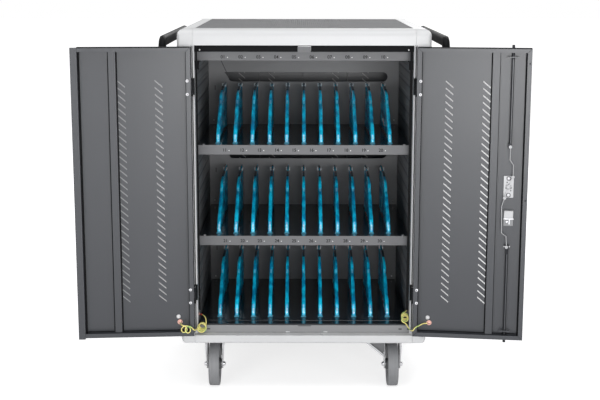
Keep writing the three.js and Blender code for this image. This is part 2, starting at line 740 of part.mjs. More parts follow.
// Socket strips on the back of the wall, one a level, sockets to the rear.
SHELF_TOPS.forEach((top, level) => {
  const y0 = WALL_Y + SHEET + SEAT;
  const low = top + STRIP_RISE;
  const body = prism('x', rounded(y0, y0 + STRIP_D, low, low + STRIP_H, 6, 2), [-STRIP_HALF_W, STRIP_HALF_W]);
  const outlets = [];
  for (let i = 0; i < BAYS; i += 1) {
    const x = (i - (BAYS - 1) / 2) * BAY_PITCH;
    outlets.push(box(
      [x - OUTLET_W / 2, x + OUTLET_W / 2],
      [y0 + STRIP_D - OUTLET_DEPTH, y0 + STRIP_D + 1],
      [low + STRIP_H / 2 - OUTLET_H / 2, low + STRIP_H / 2 + OUTLET_H / 2],
    ));
  }
  piece(`socket_strip_${LEVEL_NAMES[level]}`, cut(body, outlets), DARK);
});

// Mains inlet in the right side panel.
const inletFace = HALF_W - SIDE_INSET + SEAT;
const inletSpan = (grow, half) => [-half - grow, half + grow];
const inletBox = (x, grow) => box(
  x,
  inletSpan(grow, INLET_W / 2).map((d) => INLET_Y + d),
  inletSpan(grow, INLET_H / 2).map((d) => INLET_Z + d),
);
const inlet = cut(
  inletBox([inletFace, inletFace + SHEET], INLET_FLANGE).add(inletBox([inletFace - INLET_DEPTH, inletFace + SHEET], 0)),
  [inletBox([inletFace - INLET_DEPTH * 0.7, inletFace + 2 * SHEET], -10)],
);
piece('mains_inlet', inlet, BLACK);

// Bow handles on both sides, from column to column.
SIDES.forEach(([name, side]) => {
  const x0 = side * (HALF_W + SEAT);
  const x1 = side * (HALF_W + BOW_OUT);
  const corners = [
    new THREE.Vector3(x0, BODY_D - BOW_END, BOW_LOW_Z),
    new THREE.Vector3(x1, BODY_D - BOW_END, BOW_LOW_Z),
    new THREE.Vector3(x1, BODY_D - BOW_END, BOW_Z),
    new THREE.Vector3(x1, BOW_END, BOW_Z),
    new THREE.Vector3(x1, BOW_END, BOW_LOW_Z),
    new THREE.Vector3(x0, BOW_END, BOW_LOW_Z),
  ];
  const outline = rounded(-BOW_THIN / 2, BOW_THIN / 2, -BOW_WIDE / 2, BOW_WIDE / 2, BOW_CORNER, 2);
  piece(`bow_handle_${name}`, sweep(bentPath(corners, BOW_R, 5), outline, new THREE.Vector3(0, 0, 1)), BLACK);
});

// Doors. A door is laid out by u from its hinge edge and v from its outer skin, closed in its rebate.
function doorFrame(side, openDeg, isRear) {
  const pivot = new THREE.Vector3(side * HINGE_X, HINGE_Y, 0);
  const turn = new THREE.Matrix4().makeTranslation(pivot.x, pivot.y, 0)
    .multiply(new THREE.Matrix4().makeRotationZ(THREE.MathUtils.degToRad(side * openDeg)))
    .multiply(new THREE.Matrix4().makeTranslation(-pivot.x, -pivot.y, 0));
  if (isRear) {
    turn.premultiply(HALF_TURN);
  }
  const x = (u) => side * (DOOR_EDGE - u);
  const y = (v) => DOOR_INSET + v;
  const block = (u, v, z) => box(u.map(x), v.map(y), z);
  const point = (u, v, z) => new THREE.Vector3(x(u), y(v), z).applyMatrix4(turn);
  return { side, turn, pivot, x, y, block, point };
}

function door(frame, vents, stiffU, isLipped) {
  const { side, x, y, block } = frame;
  const height = [DOOR_Z0, DOOR_Z1];
  const holes = [];
  vents.forEach((u) => {
    for (let row = 0; row < VENT_ROWS; row += 1) {
      const z = VENT_FIRST_Z - row * VENT_PITCH;
      const low = z - VENT_HALF_RISE;
      const high = z + VENT_HALF_RISE;
      holes.push([
        [x(u) - VENT_HALF_W, low - VENT_HALF_T],
        [x(u) + VENT_HALF_W, high - VENT_HALF_T],
        [x(u) + VENT_HALF_W, high + VENT_HALF_T],
        [x(u) - VENT_HALF_W, low + VENT_HALF_T],
      ]);
    }
  });
  const slots = holes.map((hole) => prism('y', hole, [y(-SHEET), y(2 * SHEET)]));
  const cavity = block([SHEET, DOOR_W - SHEET], [SHEET, DOOR_T - SHEET], [DOOR_Z0 + SHEET, DOOR_Z1 - SHEET]);
  const freeHem = isLipped ? SHEET : HEM;
  const mouth = block([HEM, DOOR_W - freeHem], [DOOR_T / 2, DOOR_T + 1], [DOOR_Z0 + HEM, DOOR_Z1 - HEM]);
  const shell = cut(block([0, DOOR_W], [0, DOOR_T], height), [cavity, mouth, ...slots]);
  const upright = (outline, z) => prism('z', outline.map(([u, v]) => [x(u), y(v)]), z);
  const stiff = [stiffU - STIFF_W / 2, stiffU + STIFF_W / 2];
  const extras = [upright([
    [stiff[0], SHEET / 2],
    [stiff[0], STIFF_D],
    [stiff[1], STIFF_D],
    [stiff[1], SHEET / 2],
    [stiff[1] - SHEET, SHEET / 2],
    [stiff[1] - SHEET, STIFF_D - SHEET],
    [stiff[0] + SHEET, STIFF_D - SHEET],
    [stiff[0] + SHEET, SHEET / 2],
  ], [DOOR_Z0 + HEM, DOOR_Z1 - HEM])];
  HINGE_Z.forEach((centre) => {
    const leaf = [[side * (DOOR_EDGE - 2), y(SHEET / 2)], [side * (DOOR_EDGE - 0.1), y(SHEET / 2)]];
    extras.push(knuckle(side, leaf, [centre - HINGE_MID / 2, centre + HINGE_MID / 2]));
  });
  if (isLipped) {
    const lip = DOOR_T + DOOR_LIP_GAP;
    extras.push(upright([
      [DOOR_W - SHEET, DOOR_T / 2],
      [DOOR_W, DOOR_T / 2],
      [DOOR_W, lip],
      [DOOR_W + DOOR_LIP_W, lip],
      [DOOR_W + DOOR_LIP_W, lip + SHEET],
      [DOOR_W - SHEET, lip + SHEET],
    ], [DOOR_Z0 - DOOR_LIP_DROP, DOOR_Z1]));
  }
  return join([shell, ...extras]);
}

const frontLeft = doorFrame(-1, LEFT_OPEN, false);
const frontRight = doorFrame(1, RIGHT_OPEN, false);
const rearLeft = doorFrame(1, 0, true);
const rearRight = doorFrame(-1, 0, true);

piece('front_door_left', door(frontLeft, VENTS_FRONT, STIFF_FRONT, true), ANTHRACITE, frontLeft.turn);

// The right front door also has the rod guides and the openings for the lock.
const { x: lockX, y: lockY, block: lockBlock } = frontRight;
const guideZ = [DOOR_Z1 - GUIDE_INSET, DOOR_Z0 + GUIDE_INSET];
const guides = guideZ.map((z) => lockBlock(
  [ROD_U - GUIDE_W / 2, ROD_U + GUIDE_W / 2],
  [SHEET / 2, ROD_V + ROD_R + 2],
  [z - GUIDE_T / 2, z + GUIDE_T / 2],
));
const rodHole = rod('z', [lockX(ROD_U), lockY(ROD_V)], [DOOR_Z0 - 5, DOOR_Z1 + 5], ROD_R + PLAY, 10);
const spindleHole = rod('y', [lockX(LOCK_U), LOCK_Z], [lockY(-5), lockY(SHEET + 2)], SPINDLE_R + PLAY, 12);
const blockMid = (BLOCK_Z[0] + BLOCK_Z[1]) / 2;
const neckHole = lockBlock(
  [LOCK_U - NECK_W / 2 - SEAT, LOCK_U + NECK_W / 2 + SEAT],
  [-1, SHEET + 1],
  [blockMid - NECK_W / 2 - SEAT, blockMid + NECK_W / 2 + SEAT],
);
const lockDoor = cut(join([door(frontRight, VENTS_FRONT, STIFF_FRONT, false), ...guides]), [rodHole, spindleHole, neckHole]);
piece('front_door_right', lockDoor, ANTHRACITE, frontRight.turn);
piece('rear_door_left', door(rearLeft, VENTS_REAR, STIFF_REAR, true), ANTHRACITE, rearLeft.turn);

const keyHole = rod('y', [rearRight.x(KEY_U), KEY_Z], [rearRight.y(-5), rearRight.y(SHEET + 2)], KEY_R + PLAY, 12);
piece('rear_door_right', cut(door(rearRight, VENTS_REAR, STIFF_REAR, false), [keyHole]), ANTHRACITE, rearRight.turn);

// Lock body: plate outside, neck through the door, fixing block inside.
const escutcheonMid = LOCK_Z - ESCUTCHEON_DROP;
const escutcheon = prism('y', rounded(
  lockX(LOCK_U) - ESCUTCHEON_W / 2,
  lockX(LOCK_U) + ESCUTCHEON_W / 2,
  escutcheonMid - ESCUTCHEON_H / 2,
  escutcheonMid + ESCUTCHEON_H / 2,
  10,
  3,
), [lockY(-SEAT - ESCUTCHEON_T), lockY(-SEAT)]);
const neck = lockBlock(
  [LOCK_U - NECK_W / 2, LOCK_U + NECK_W / 2],
  [-SEAT - 1, SHEET + SEAT + 1],
  [blockMid - NECK_W / 2, blockMid + NECK_W / 2],
);
const fixing = lockBlock(
  [LOCK_U - BLOCK_W / 2 + 2, LOCK_U + BLOCK_W / 2 + 2],
  [SHEET + SEAT, SHEET + SEAT + BLOCK_T],
  BLOCK_Z,
);
piece('lock_body', cut(join([escutcheon, neck, fixing]), [spindleHole]), ZINC, frontRight.turn);
const basePlate = lockBlock(
  [LOCK_U - PLATE_W / 2, LOCK_U + PLATE_W / 2],
  [SHEET + SEAT, SHEET + SEAT + PLATE_T],
  [LOCK_Z - PLATE_H / 2, LOCK_Z + PLATE_H / 2],
);
const plateHole = rod('y', [lockX(LOCK_U), LOCK_Z], [lockY(0), lockY(CAM_V)], SPINDLE_R + PLAY, 12);
piece('lock_base_plate', cut(basePlate, [plateHole]), ZINC, frontRight.turn);

// Handle with its spindle, and the cam lever with the two link pins.
const handleV = [-SEAT - ESCUTCHEON_T - SEAT - HANDLE_OFF - HANDLE_T, -SEAT - ESCUTCHEON_T - SEAT - HANDLE_OFF];
const lever = prism('y', rounded(
  lockX(LOCK_U) - HANDLE_W / 2,
  lockX(LOCK_U) + HANDLE_W / 2,
  LOCK_Z - HANDLE_L,
  LOCK_Z + HANDLE_W / 2,
  HANDLE_W / 2 - 1,
  3,
), handleV.map(lockY));
const rose = rod('y', [lockX(LOCK_U), LOCK_Z], [lockY(handleV[1] - 1), lockY(-2 * SEAT - ESCUTCHEON_T)], HANDLE_W / 2, 12);
const spindle = rod('y', [lockX(LOCK_U), LOCK_Z], [lockY(handleV[1]), lockY(CAM_V - SEAT)], SPINDLE_R, 10);
piece('lock_handle', join([lever, rose, spindle]), BLACK, frontRight.turn);

const pins = [1, -1].map((end) => [LOCK_U + end * PIN_U, LOCK_Z + end * PIN_Z]);
const along = new THREE.Vector2(PIN_U, PIN_Z).normalize();
const camHalf = CAM_W / 2;
const reach = Math.hypot(PIN_U, PIN_Z) + CAM_OVER;
const camCorners = [[-1, -1], [1, -1], [1, 1], [-1, 1]].map(([s, t]) => [
  lockX(LOCK_U + s * reach * along.x - t * camHalf * along.y),
  LOCK_Z + s * reach * along.y + t * camHalf * along.x,
]);
const camBar = prism('y', camCorners, [lockY(CAM_V), lockY(CAM_V + CAM_T)]);
const linkBase = LINK_V - LINK_R;
const pinStuds = pins.map(([u, z]) => rod('y', [lockX(u), z], [lockY(CAM_V + 1), lockY(linkBase - SEAT)], PIN_R, 8));
piece('lock_cam', join([camBar, ...pinStuds]), ZINC, frontRight.turn);

// Rods and the bent links between the rods and the cam pins.
const linkRoutes = {
  upper: [
    pins[0],
    [LOCK_U + PIN_U, LOCK_Z + 62],
    [ROD_U, LOCK_Z + 76],
    [ROD_U, ROD_TOP_END],
  ],
  lower: [
    pins[1],
    [LOCK_U - PIN_U - 7, LOCK_Z - 52],
    [LOCK_U - PIN_U - 5, LOCK_Z - 126],
    [ROD_U - 4, LOCK_Z - 135],
    [ROD_U - 2, ROD_LOW_END],
  ],
};
const wire = arc(0, 0, LINK_R, 30, 330, 5);
Object.entries(linkRoutes).forEach(([name, route]) => {
  const path = route.map(([u, z]) => new THREE.Vector3(lockX(u), lockY(LINK_V), z));
  const eyes = [route[0], route[route.length - 1]].map(([u, z]) => rod(
    'y',
    [lockX(u), z],
    [lockY(linkBase), lockY(LINK_V + LINK_R)],
    EYE_R,
    10,
  ));
  piece(`lock_link_${name}`, join([sweep(path, wire, new THREE.Vector3(0, 1, 0)), ...eyes]), ZINC, frontRight.turn);
});
const rodSpans = {
  upper: [ROD_TOP_END, DOOR_Z1 + ROD_REACH],
  lower: [ROD_LOW_END, DOOR_Z0 - ROD_REACH],
};
Object.entries(rodSpans).forEach(([name, [inner, tip]]) => {
  const away = Math.sign(tip - inner);
  const bar = rod('z', [lockX(ROD_U), lockY(ROD_V)], [inner - away * EYE_R, tip], ROD_R, 10);
  const lug = lockBlock(
    [ROD_U - EYE_R - 2, ROD_U + EYE_R],
    [ROD_V - ROD_R, linkBase - SEAT],
    [inner - away * EYE_R, inner + away * 2 * EYE_R],
  );
  piece(`lock_rod_${name}`, join([bar, lug]), DARK, frontRight.turn);
});

// Key lock of the rear doors: barrel through the right door, tongue upright when open.
const { x: keyX, y: keyY } = rearRight;
const tongueV = DOOR_T + DOOR_LIP_GAP + SHEET + PLAY;
const barrel = rod('y', [keyX(KEY_U), KEY_Z], [keyY(-1), keyY(tongueV + TONGUE_T)], KEY_R, 12);
const keyHead = rod('y', [keyX(KEY_U), KEY_Z], [keyY(-SEAT - KEY_HEAD_T), keyY(-SEAT)], KEY_HEAD_R, 16);
const tongue = box(
  [keyX(KEY_U) - TONGUE_W / 2, keyX(KEY_U) + TONGUE_W / 2],
  [keyY(tongueV), keyY(tongueV + TONGUE_T)],
  [KEY_Z - TONGUE_W / 2, KEY_Z + TONGUE_L],
);
piece('rear_key_lock', join([barrel, keyHead, tongue]), ZINC, rearRight.turn);

// Casters: plate with bearing ring, fork with axle, wheel; all wheels trail towards the front.
const plateTop = BASE_Z - SEAT;
const raceLow = plateTop - PLATE_THICK - RACE_H;
const crownTop = raceLow - SEAT;
const cheekIn = WHEEL_W / 2 + CHEEK_GAP;
const cheekOut = cheekIn + CHEEK_T;
const wheelProfile = [
  [AXLE_R + PLAY, -WHEEL_W / 2 - 1.5],
  [HUB_R, -WHEEL_W / 2 - 1.5],
  [HUB_R + 2, -WHEEL_W / 2 + 5],
  [WHEEL_R * 0.72, -WHEEL_W / 2 + 4],
  [WHEEL_R * 0.78, -WHEEL_W / 2],
  [WHEEL_R - 4, -WHEEL_W / 2],
  [WHEEL_R, -WHEEL_W / 2 + 5],
];
ENDS.forEach((end) => {
  SIDES.forEach(([name, side]) => {
    const x = side * CASTER_X;
    const y = end === 'front' ? CASTER_Y : BODY_D - CASTER_Y;
    const axleY = y - TRAIL;
    const half = [PLATE_LONG / 2, PLATE_WIDE / 2];
    const plate = prism('z', rounded(x - half[1], x + half[1], y - half[0], y + half[0], 8, 2), [plateTop - PLATE_THICK, plateTop]);
    const race = rod('z', [x, y], [raceLow, plateTop - 1], RACE_R, 20);
    piece(`caster_plate_${end}_${name}`, plate.add(race), ZINC);

    const crown = rod('z', [x, y], [crownTop - CROWN_T, crownTop], CROWN_R, 20);
    const cheekShape = [
      [y + CROWN_R * 0.8, crownTop],
      [y - CROWN_R * 0.9, crownTop],
      ...arc(axleY, WHEEL_R, CHEEK_END_R, 170, 340, 5),
    ];
    const cheeks = [-1, 1].map((s) => prism('x', cheekShape, [x + s * cheekIn, x + s * cheekOut]));
    const axle = rod('x', [axleY, WHEEL_R], [x - cheekOut - 1, x + cheekOut + 1], AXLE_R, 10);
    const bolts = [-1, 1].map((s) => rod('x', [axleY, WHEEL_R], [x + s * (cheekOut - 0.5), x + s * (cheekOut + BOLT_H)], BOLT_R, 6));
    piece(`caster_fork_${end}_${name}`, join([crown, ...cheeks, axle, ...bolts]), ZINC);

    const mirrored = wheelProfile.map(([r, w]) => [r, -w]).reverse();
    const ring = [...wheelProfile, ...mirrored, wheelProfile[0]].map(([r, w]) => new THREE.Vector2(r, w));
    const wheel = new THREE.LatheGeometry(ring, WHEEL_SIDES);
    wheel.rotateZ(-Math.PI / 2);
    wheel.translate(x, axleY, WHEEL_R);
    piece(`caster_wheel_${end}_${name}`, solid(wheel), TYRE);
  });
});

// Side pedal of the front right caster: a triangular sheet with a flange along its slanted edge.
const pedalX = CASTER_X - cheekOut - PLAY;
const pedalTop = crownTop + 5;
const pedalY = CASTER_Y - PEDAL_Y;
const pedalTip = [pedalX - PEDAL_L, pedalTop];
const pedalLow = [pedalX, pedalTop - PEDAL_H];
const pedalSheet = prism('y', [pedalTip, [pedalX, pedalTop], pedalLow], [pedalY, pedalY + PEDAL_T]);
const pedalFlange = prism('y', [
  pedalTip,
  [pedalTip[0] + 5, pedalTop],
  [pedalX, pedalLow[1] + 4],
  pedalLow,
], [pedalY - PEDAL_FLANGE / 2, pedalY + PEDAL_FLANGE / 2]);
piece('brake_pedal', join([pedalSheet, pedalFlange]), ZINC);

// Earth leads from the doors to the liners: turns beside the left hinge, then a bundle on the sill; a coil on the right.
function coil(from, to, radius, turns, start, across, second) {
  const points = [];
  const count = turns * 6;
  for (let i = 0; i <= count; i += 1) {
    const angle = start + (2 * Math.PI * i) / 6;
    points.push(from.clone().lerp(to, i / count)
      .addScaledVector(across, radius * Math.cos(angle))
      .addScaledVector(second, radius * Math.sin(angle)));
  }
  return points;
}
const AXIS_X = new THREE.Vector3(1, 0, 0);
const AXIS_Y = new THREE.Vector3(0, 1, 0);
const AXIS_Z = new THREE.Vector3(0, 0, 1);
const leadEndX = LINER_X - RIB_RISE - LEAD_R;
const leadRoutes = {
  left: [
    frontLeft.point(LUG_U, SHEET + LEAD_R + SEAT, LUG_Z),
    frontLeft.point(LUG_U - 3, 9, LUG_Z - 5),
    ...coil(
      new THREE.Vector3(-341, -40, 198), new THREE.Vector3(-306, -42, 193), COIL_R, 2, Math.PI / 2, AXIS_Y, AXIS_Z,
    ),
    new THREE.Vector3(-296, -27, 189),
    new THREE.Vector3(-297, -8, 183),
    ...coil(
      new THREE.Vector3(-290, 4, 186), new THREE.Vector3(-286, 22, 194), BUNDLE_R, 4, Math.PI, AXIS_X, AXIS_Z,
    ),
    new THREE.Vector3(-292, 38, 208),
    new THREE.Vector3(-294, 54, 213),
    new THREE.Vector3(-leadEndX, 70, 211),
  ],
  right: [
    frontRight.point(LUG_U, SHEET + LEAD_R + SEAT, LUG_Z),
    frontRight.point(LUG_U - 10, 9, LUG_Z),
    frontRight.point(LUG_U - 21, 21, LUG_Z - 2),
    frontRight.point(LUG_U - 33, 27, LUG_Z - 8),
    new THREE.Vector3(304, -36, 194),
    new THREE.Vector3(298, -16, 188),
    new THREE.Vector3(292, 2, 196),
    ...coil(
      new THREE.Vector3(289, 17, 205), new THREE.Vector3(288, 19, 229), COIL_R, 3, Math.PI, AXIS_Y, AXIS_X,
    ),
    new THREE.Vector3(287, 28, 234),
    new THREE.Vector3(289, 52, 232),
    new THREE.Vector3(leadEndX, 76, 224),
  ],
};
const leadSection = new THREE.Shape(arc(0, 0, LEAD_R, 22.5, 337.5, 7).map(([a, b]) => new THREE.Vector2(a, b)));
Object.entries(leadRoutes).forEach(([name, points]) => {
  const path = new THREE.CatmullRomCurve3(points);
  const tube = new THREE.ExtrudeGeometry(leadSection, { steps: LEAD_STEPS, extrudePath: path, bevelEnabled: false });
  piece(`earth_lead_${name}`, solid(tube), LEAD);
});

// The cart stands with the middle of its outline on the origin.
const bounds = new THREE.Box3().setFromObject(cart);
const middle = bounds.getCenter(new THREE.Vector3());
const shift = new THREE.Vector3(-middle.x, -middle.y, -bounds.min.z);
cart.children.forEach((mesh) => mesh.geometry.translate(shift.x, shift.y, shift.z));

// Turning axes and lead routes in the same place as the meshes.
const moved = (point) => point.clone().add(shift).toArray();
const inward = frontRight.point(0, 1, 0).sub(frontRight.point(0, 0, 0)).normalize();
cart.userData = {
  shift: shift.toArray(),
  doorPivots: [frontLeft, frontRight, rearLeft, rearRight].map(({ pivot, turn }) => (
    moved(pivot.clone().applyMatrix4(turn))
  )),
  lockPivot: moved(frontRight.point(LOCK_U, 0, LOCK_Z)),
  lockAxis: inward.toArray(),
  linkPivots: [
    moved(frontRight.point(ROD_U, LINK_V, ROD_TOP_END)),
    moved(frontRight.point(ROD_U - 2, LINK_V, ROD_LOW_END)),
  ],
  keyPivot: moved(rearRight.point(KEY_U, 0, KEY_Z)),
  pedalPivot: moved(new THREE.Vector3(pedalX, pedalY, pedalLow[1])),
  leads: Object.fromEntries(Object.entries(leadRoutes).map(([name, points]) => [name, points.map(moved)])),
};

export default cart;
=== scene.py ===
# %% [markdown]
# # A laptop charging cart
# The cart is a steel cabinet on four casters. Both front doors stand open, and three shelves
# show thirty bays between glossy blue dividers. The solid model gives the main places and sizes;
# this lesson rounds its edges, gives each piece its finish and adds the small parts: screws, hinge
# barrels, numbers, seals, outlets and two curled earth leads.

# %% Load the frame
import json
import math

import bmesh
import bpy
from mathutils import Matrix, Vector
from mathutils.geometry import tessellate_polygon

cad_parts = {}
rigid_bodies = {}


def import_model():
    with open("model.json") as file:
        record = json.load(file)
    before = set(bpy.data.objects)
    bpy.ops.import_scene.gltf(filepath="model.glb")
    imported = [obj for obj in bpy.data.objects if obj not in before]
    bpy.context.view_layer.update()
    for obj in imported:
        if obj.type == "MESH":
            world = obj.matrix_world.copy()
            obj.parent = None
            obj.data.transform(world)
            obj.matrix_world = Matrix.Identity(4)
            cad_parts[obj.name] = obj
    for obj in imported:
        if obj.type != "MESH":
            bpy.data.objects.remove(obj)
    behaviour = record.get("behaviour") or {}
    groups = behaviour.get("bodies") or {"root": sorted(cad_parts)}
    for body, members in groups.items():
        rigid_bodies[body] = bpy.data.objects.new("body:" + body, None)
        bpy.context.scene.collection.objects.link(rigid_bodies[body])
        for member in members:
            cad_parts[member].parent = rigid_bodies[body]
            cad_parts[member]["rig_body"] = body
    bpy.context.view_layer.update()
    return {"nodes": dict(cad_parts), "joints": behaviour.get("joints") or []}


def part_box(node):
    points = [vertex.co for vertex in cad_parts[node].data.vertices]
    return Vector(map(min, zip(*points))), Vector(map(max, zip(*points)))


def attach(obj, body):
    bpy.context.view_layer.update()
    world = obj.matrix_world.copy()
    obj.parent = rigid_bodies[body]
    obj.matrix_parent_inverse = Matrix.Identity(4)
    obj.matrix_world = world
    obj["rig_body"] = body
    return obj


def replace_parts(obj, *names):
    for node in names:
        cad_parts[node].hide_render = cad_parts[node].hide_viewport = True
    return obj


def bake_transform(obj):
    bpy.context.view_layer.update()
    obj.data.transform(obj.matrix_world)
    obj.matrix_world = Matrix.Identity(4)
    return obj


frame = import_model()
MM = 0.001
MID_X = sum(corner.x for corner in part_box("top_mat")) / 2
FRONT_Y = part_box("top_rail_front")[0].y


def at(x, y, z):
    """A point from millimetres: x from the middle of the body, y from its front plane, z from the floor."""
    return Vector((MID_X + x * MM, FRONT_Y + y * MM, z * MM))


print("pieces in the frame:", len(frame["nodes"]))

# %% [markdown]
# ## Camera
# The picture was taken from a little above the cart with a long lens. A camera in Blender looks
# along its own -Z, so a quarter turn about X makes it look at the horizon, and the tilt is taken
# from that. The lens is given for a 36 mm wide sensor.

# %% Camera
VIEWPOINT = at(-8.0, -3286.5, 1178.7)
SENSOR_WIDTH = 36
LENS = 72.63
TILT = 0.18672
SWING = 0.00084
ROLL = 0.00128

camera_data = bpy.data.cameras.new("camera")
camera_data.sensor_width = SENSOR_WIDTH
camera_data.lens = LENS
camera = bpy.data.objects.new("camera", camera_data)
camera.matrix_world = (
    Matrix.Translation(VIEWPOINT)
    @ Matrix.Rotation(SWING, 4, "Z")
    @ Matrix.Rotation(math.pi / 2 - TILT, 4, "X")
    @ Matrix.Rotation(ROLL, 4, "Z")
)
bpy.context.scene.collection.objects.link(camera)
bpy.context.scene.camera = camera
bpy.context.scene.view_settings.view_transform = "Standard"
print("camera at", [round(c, 3) for c in camera.location])

# %% [markdown]
# ## Node helpers
# Every finish below is a small node tree. `shader` starts one with a Principled shader, and
# `link` joins two sockets, so that a finish reads as a list of what feeds what. A Mix node keeps
# sockets for every kind of data, so its colour sockets are reached by their numbers.


# %% Node helpers
COLOUR_A, COLOUR_B, COLOUR_OUT = 6, 7, 2


def shader(name, colour, roughness, metallic=0.0):
    """A new material with one Principled shader, and its node tree and shader node."""
    material = bpy.data.materials.new(name)
    material.use_nodes = True
    tree = material.node_tree
    base = tree.nodes["Principled BSDF"]
    base.inputs["Base Color"].default_value = (*colour, 1)
    base.inputs["Roughness"].default_value = roughness
    base.inputs["Metallic"].default_value = metallic
    return material, tree, base


def node(tree, kind, **values):
    """A node of one kind, with sockets set by name and other settings set as attributes."""
    made = tree.nodes.new(kind)
    for name, value in values.items():
        title = name.replace("_", " ")
        if title in made.inputs:
            made.inputs[title].default_value = value
        else:
            setattr(made, name, value)
    return made


def link(tree, source, output, target, target_input):
    """Joins an output of one node to an input of another."""
    tree.links.new(source.outputs[output], target.inputs[target_input])


def place(tree):
    """The node with the Object coordinates that every pattern here is laid out in."""
    found = tree.nodes.get("Texture Coordinate")
    return found or tree.nodes.new("ShaderNodeTexCoord")


def noise(tree, scale, detail=2.0, stretch=None):
    """Noise on Object coordinates, drawn out along an axis where stretch is given."""
    grain = node(tree, "ShaderNodeTexNoise", Scale=scale, Detail=detail)
    if stretch:
        mapping = node(tree, "ShaderNodeMapping", Scale=stretch)
        link(tree, place(tree), "Object", mapping, "Vector")
        link(tree, mapping, "Vector", grain, "Vector")
    else:
        link(tree, place(tree), "Object", grain, "Vector")
    return grain


def ramp(tree, source, output, low, high, low_colour, high_colour):
    """Two colours laid over the range from low to high of one value."""
    made = node(tree, "ShaderNodeValToRGB")
    stops = made.color_ramp.elements
    stops[0].position, stops[0].color = low, (*low_colour, 1)
    stops[1].position, stops[1].color = high, (*high_colour, 1)
    link(tree, source, output, made, "Fac")
    return made


def drifting(tree, source, colour, drift):
    """A slow drift of tone about one colour."""
    darker = [c * (1 - drift) for c in colour]
    lighter = [c * (1 + drift) for c in colour]
    return ramp(tree, source, "Fac", 0.3, 0.7, darker, lighter)


def vary(tree, base, source, low, high, smoothest, roughest):
    """Lets the roughness follow a noise, between two limits."""
    spread = node(tree, "ShaderNodeMapRange", From_Min=low, From_Max=high, To_Min=smoothest, To_Max=roughest)
    link(tree, source, "Fac", spread, "Value")
    link(tree, spread, "Result", base, "Roughness")


def bump(tree, base, source, strength, depth):
    """A raised pattern on top of what shapes the normal already; depth is in metres."""
    relief = node(tree, "ShaderNodeBump", Strength=strength, Distance=depth)
    link(tree, source, "Fac", relief, "Height")
    if base.inputs["Normal"].is_linked:
        tree.links.new(base.inputs["Normal"].links[0].from_socket, relief.inputs["Normal"])
    link(tree, relief, "Normal", base, "Normal")


def let_through(tree, base, source, output, tint=(1, 1, 1, 1)):
    """Mixes a clear shader into a finish; the source gives its share."""
    clear = node(tree, "ShaderNodeBsdfTransparent", Color=tint)
    seen = node(tree, "ShaderNodeMixShader")
    link(tree, source, output, seen, "Fac")
    link(tree, base, "BSDF", seen, 1)
    link(tree, clear, "BSDF", seen, 2)
    link(tree, seen, "Shader", tree.nodes["Material Output"], "Surface")


print("node helpers ready")

# %% [markdown]
# ## Finishes
# The cabinet is powder coated: pale grey on the frame, and darker greys on shelves, doors, walls and
# chassis. Powder coat melts into a skin with a very fine orange-peel, so each coat gets two grains
# of bump, a slow drift of tone and a little drift in its roughness.


# %% Powder coats
def powder_coat(name, colour, roughness, grain, drift):
    """Powder coat with fine flecks and an orange-peel."""
    material, tree, base = shader(name, colour, roughness)
    speck = noise(tree, grain, 3)
    cloud = noise(tree, 5, 2)
    flecks = node(tree, "ShaderNodeMix", data_type="RGBA", blend_type="SOFT_LIGHT")
    flecks.inputs[0].default_value = 0.16
    link(tree, drifting(tree, cloud, colour, drift), "Color", flecks, COLOUR_A)
    link(tree, speck, "Fac", flecks, COLOUR_B)
    link(tree, flecks, COLOUR_OUT, base, "Base Color")
    vary(tree, base, cloud, 0.2, 0.8, roughness - 0.015, roughness + 0.02)
    bump(tree, base, speck, 0.22, 0.0002)
    bump(tree, base, noise(tree, grain / 5, 1), 0.08, 0.0004)
    return material


frame_coat = powder_coat("pale_grey_powder_coat", (0.62, 0.625, 0.635), 0.36, 900, 0.02)
cabinet_coat = powder_coat("anthracite_powder_coat", (0.118, 0.120, 0.127), 0.46, 1300, 0.05)
# The door coat also lays a grey painted highlight along the front of each lock rod.
door_coat_and_rod_highlight = powder_coat("door_powder_coat_and_rod_highlight", (0.038, 0.0410, 0.0485), 0.30, 1300, 0.02)
wall_coat = powder_coat("wall_powder_coat", (0.175, 0.176, 0.182), 0.46, 1300, 0.04)
# The black-brown coat also serves as painted shade: dark marks in screw recesses, holes, slots and gaps, and
# a sheet behind each caster wheel.
dark_coat_and_painted_shade = powder_coat("black_brown_powder_coat_and_painted_shade", (0.030, 0.031, 0.034), 0.42, 1300, 0.05)
print("powder coats:", frame_coat.name, cabinet_coat.name, door_coat_and_rod_highlight.name, wall_coat.name, dark_coat_and_painted_shade.name)

# %% [markdown]
# Zinc plated steel shows a faint streak and cloud in its gloss. Moulded plastic and rubber have a
# fine spark texture, deep where hands go and hardly there on glossy parts. White light lies all
# round the cart, so the darkest plastics get less shine than usual, or they would turn grey.


# %% Metals and plastics
def plated(name, colour, roughness, streak):
    """Plated metal whose fine lines run along the axis where the streak is below one."""
    material, tree, base = shader(name, colour, roughness, 1.0)
    lines = noise(tree, 260, 3, streak)
    cloud = noise(tree, 40, 3)
    vary(tree, base, cloud, 0.25, 0.75, roughness - 0.07, roughness + 0.1)
    tone = ramp(tree, cloud, "Fac", 0.25, 0.75, [c * 0.86 for c in colour], colour)
    link(tree, tone, "Color", base, "Base Color")
    bump(tree, base, lines, 0.12, 0.0001)
    return material


def moulded(name, colour, roughness, grain, depth, drift=0.1, shine=0.5):
    """Plastic or rubber with a spark texture of a grain and a depth in metres."""
    material, tree, base = shader(name, colour, roughness)
    base.inputs["Specular IOR Level"].default_value = shine
    spark = noise(tree, grain, 2)
    tone = drifting(tree, noise(tree, 14, 2), colour, drift)
    link(tree, tone, "Color", base, "Base Color")
    vary(tree, base, spark, 0.3, 0.7, roughness - 0.04, roughness + 0.06)
    bump(tree, base, spark, 0.3, depth)
    return material


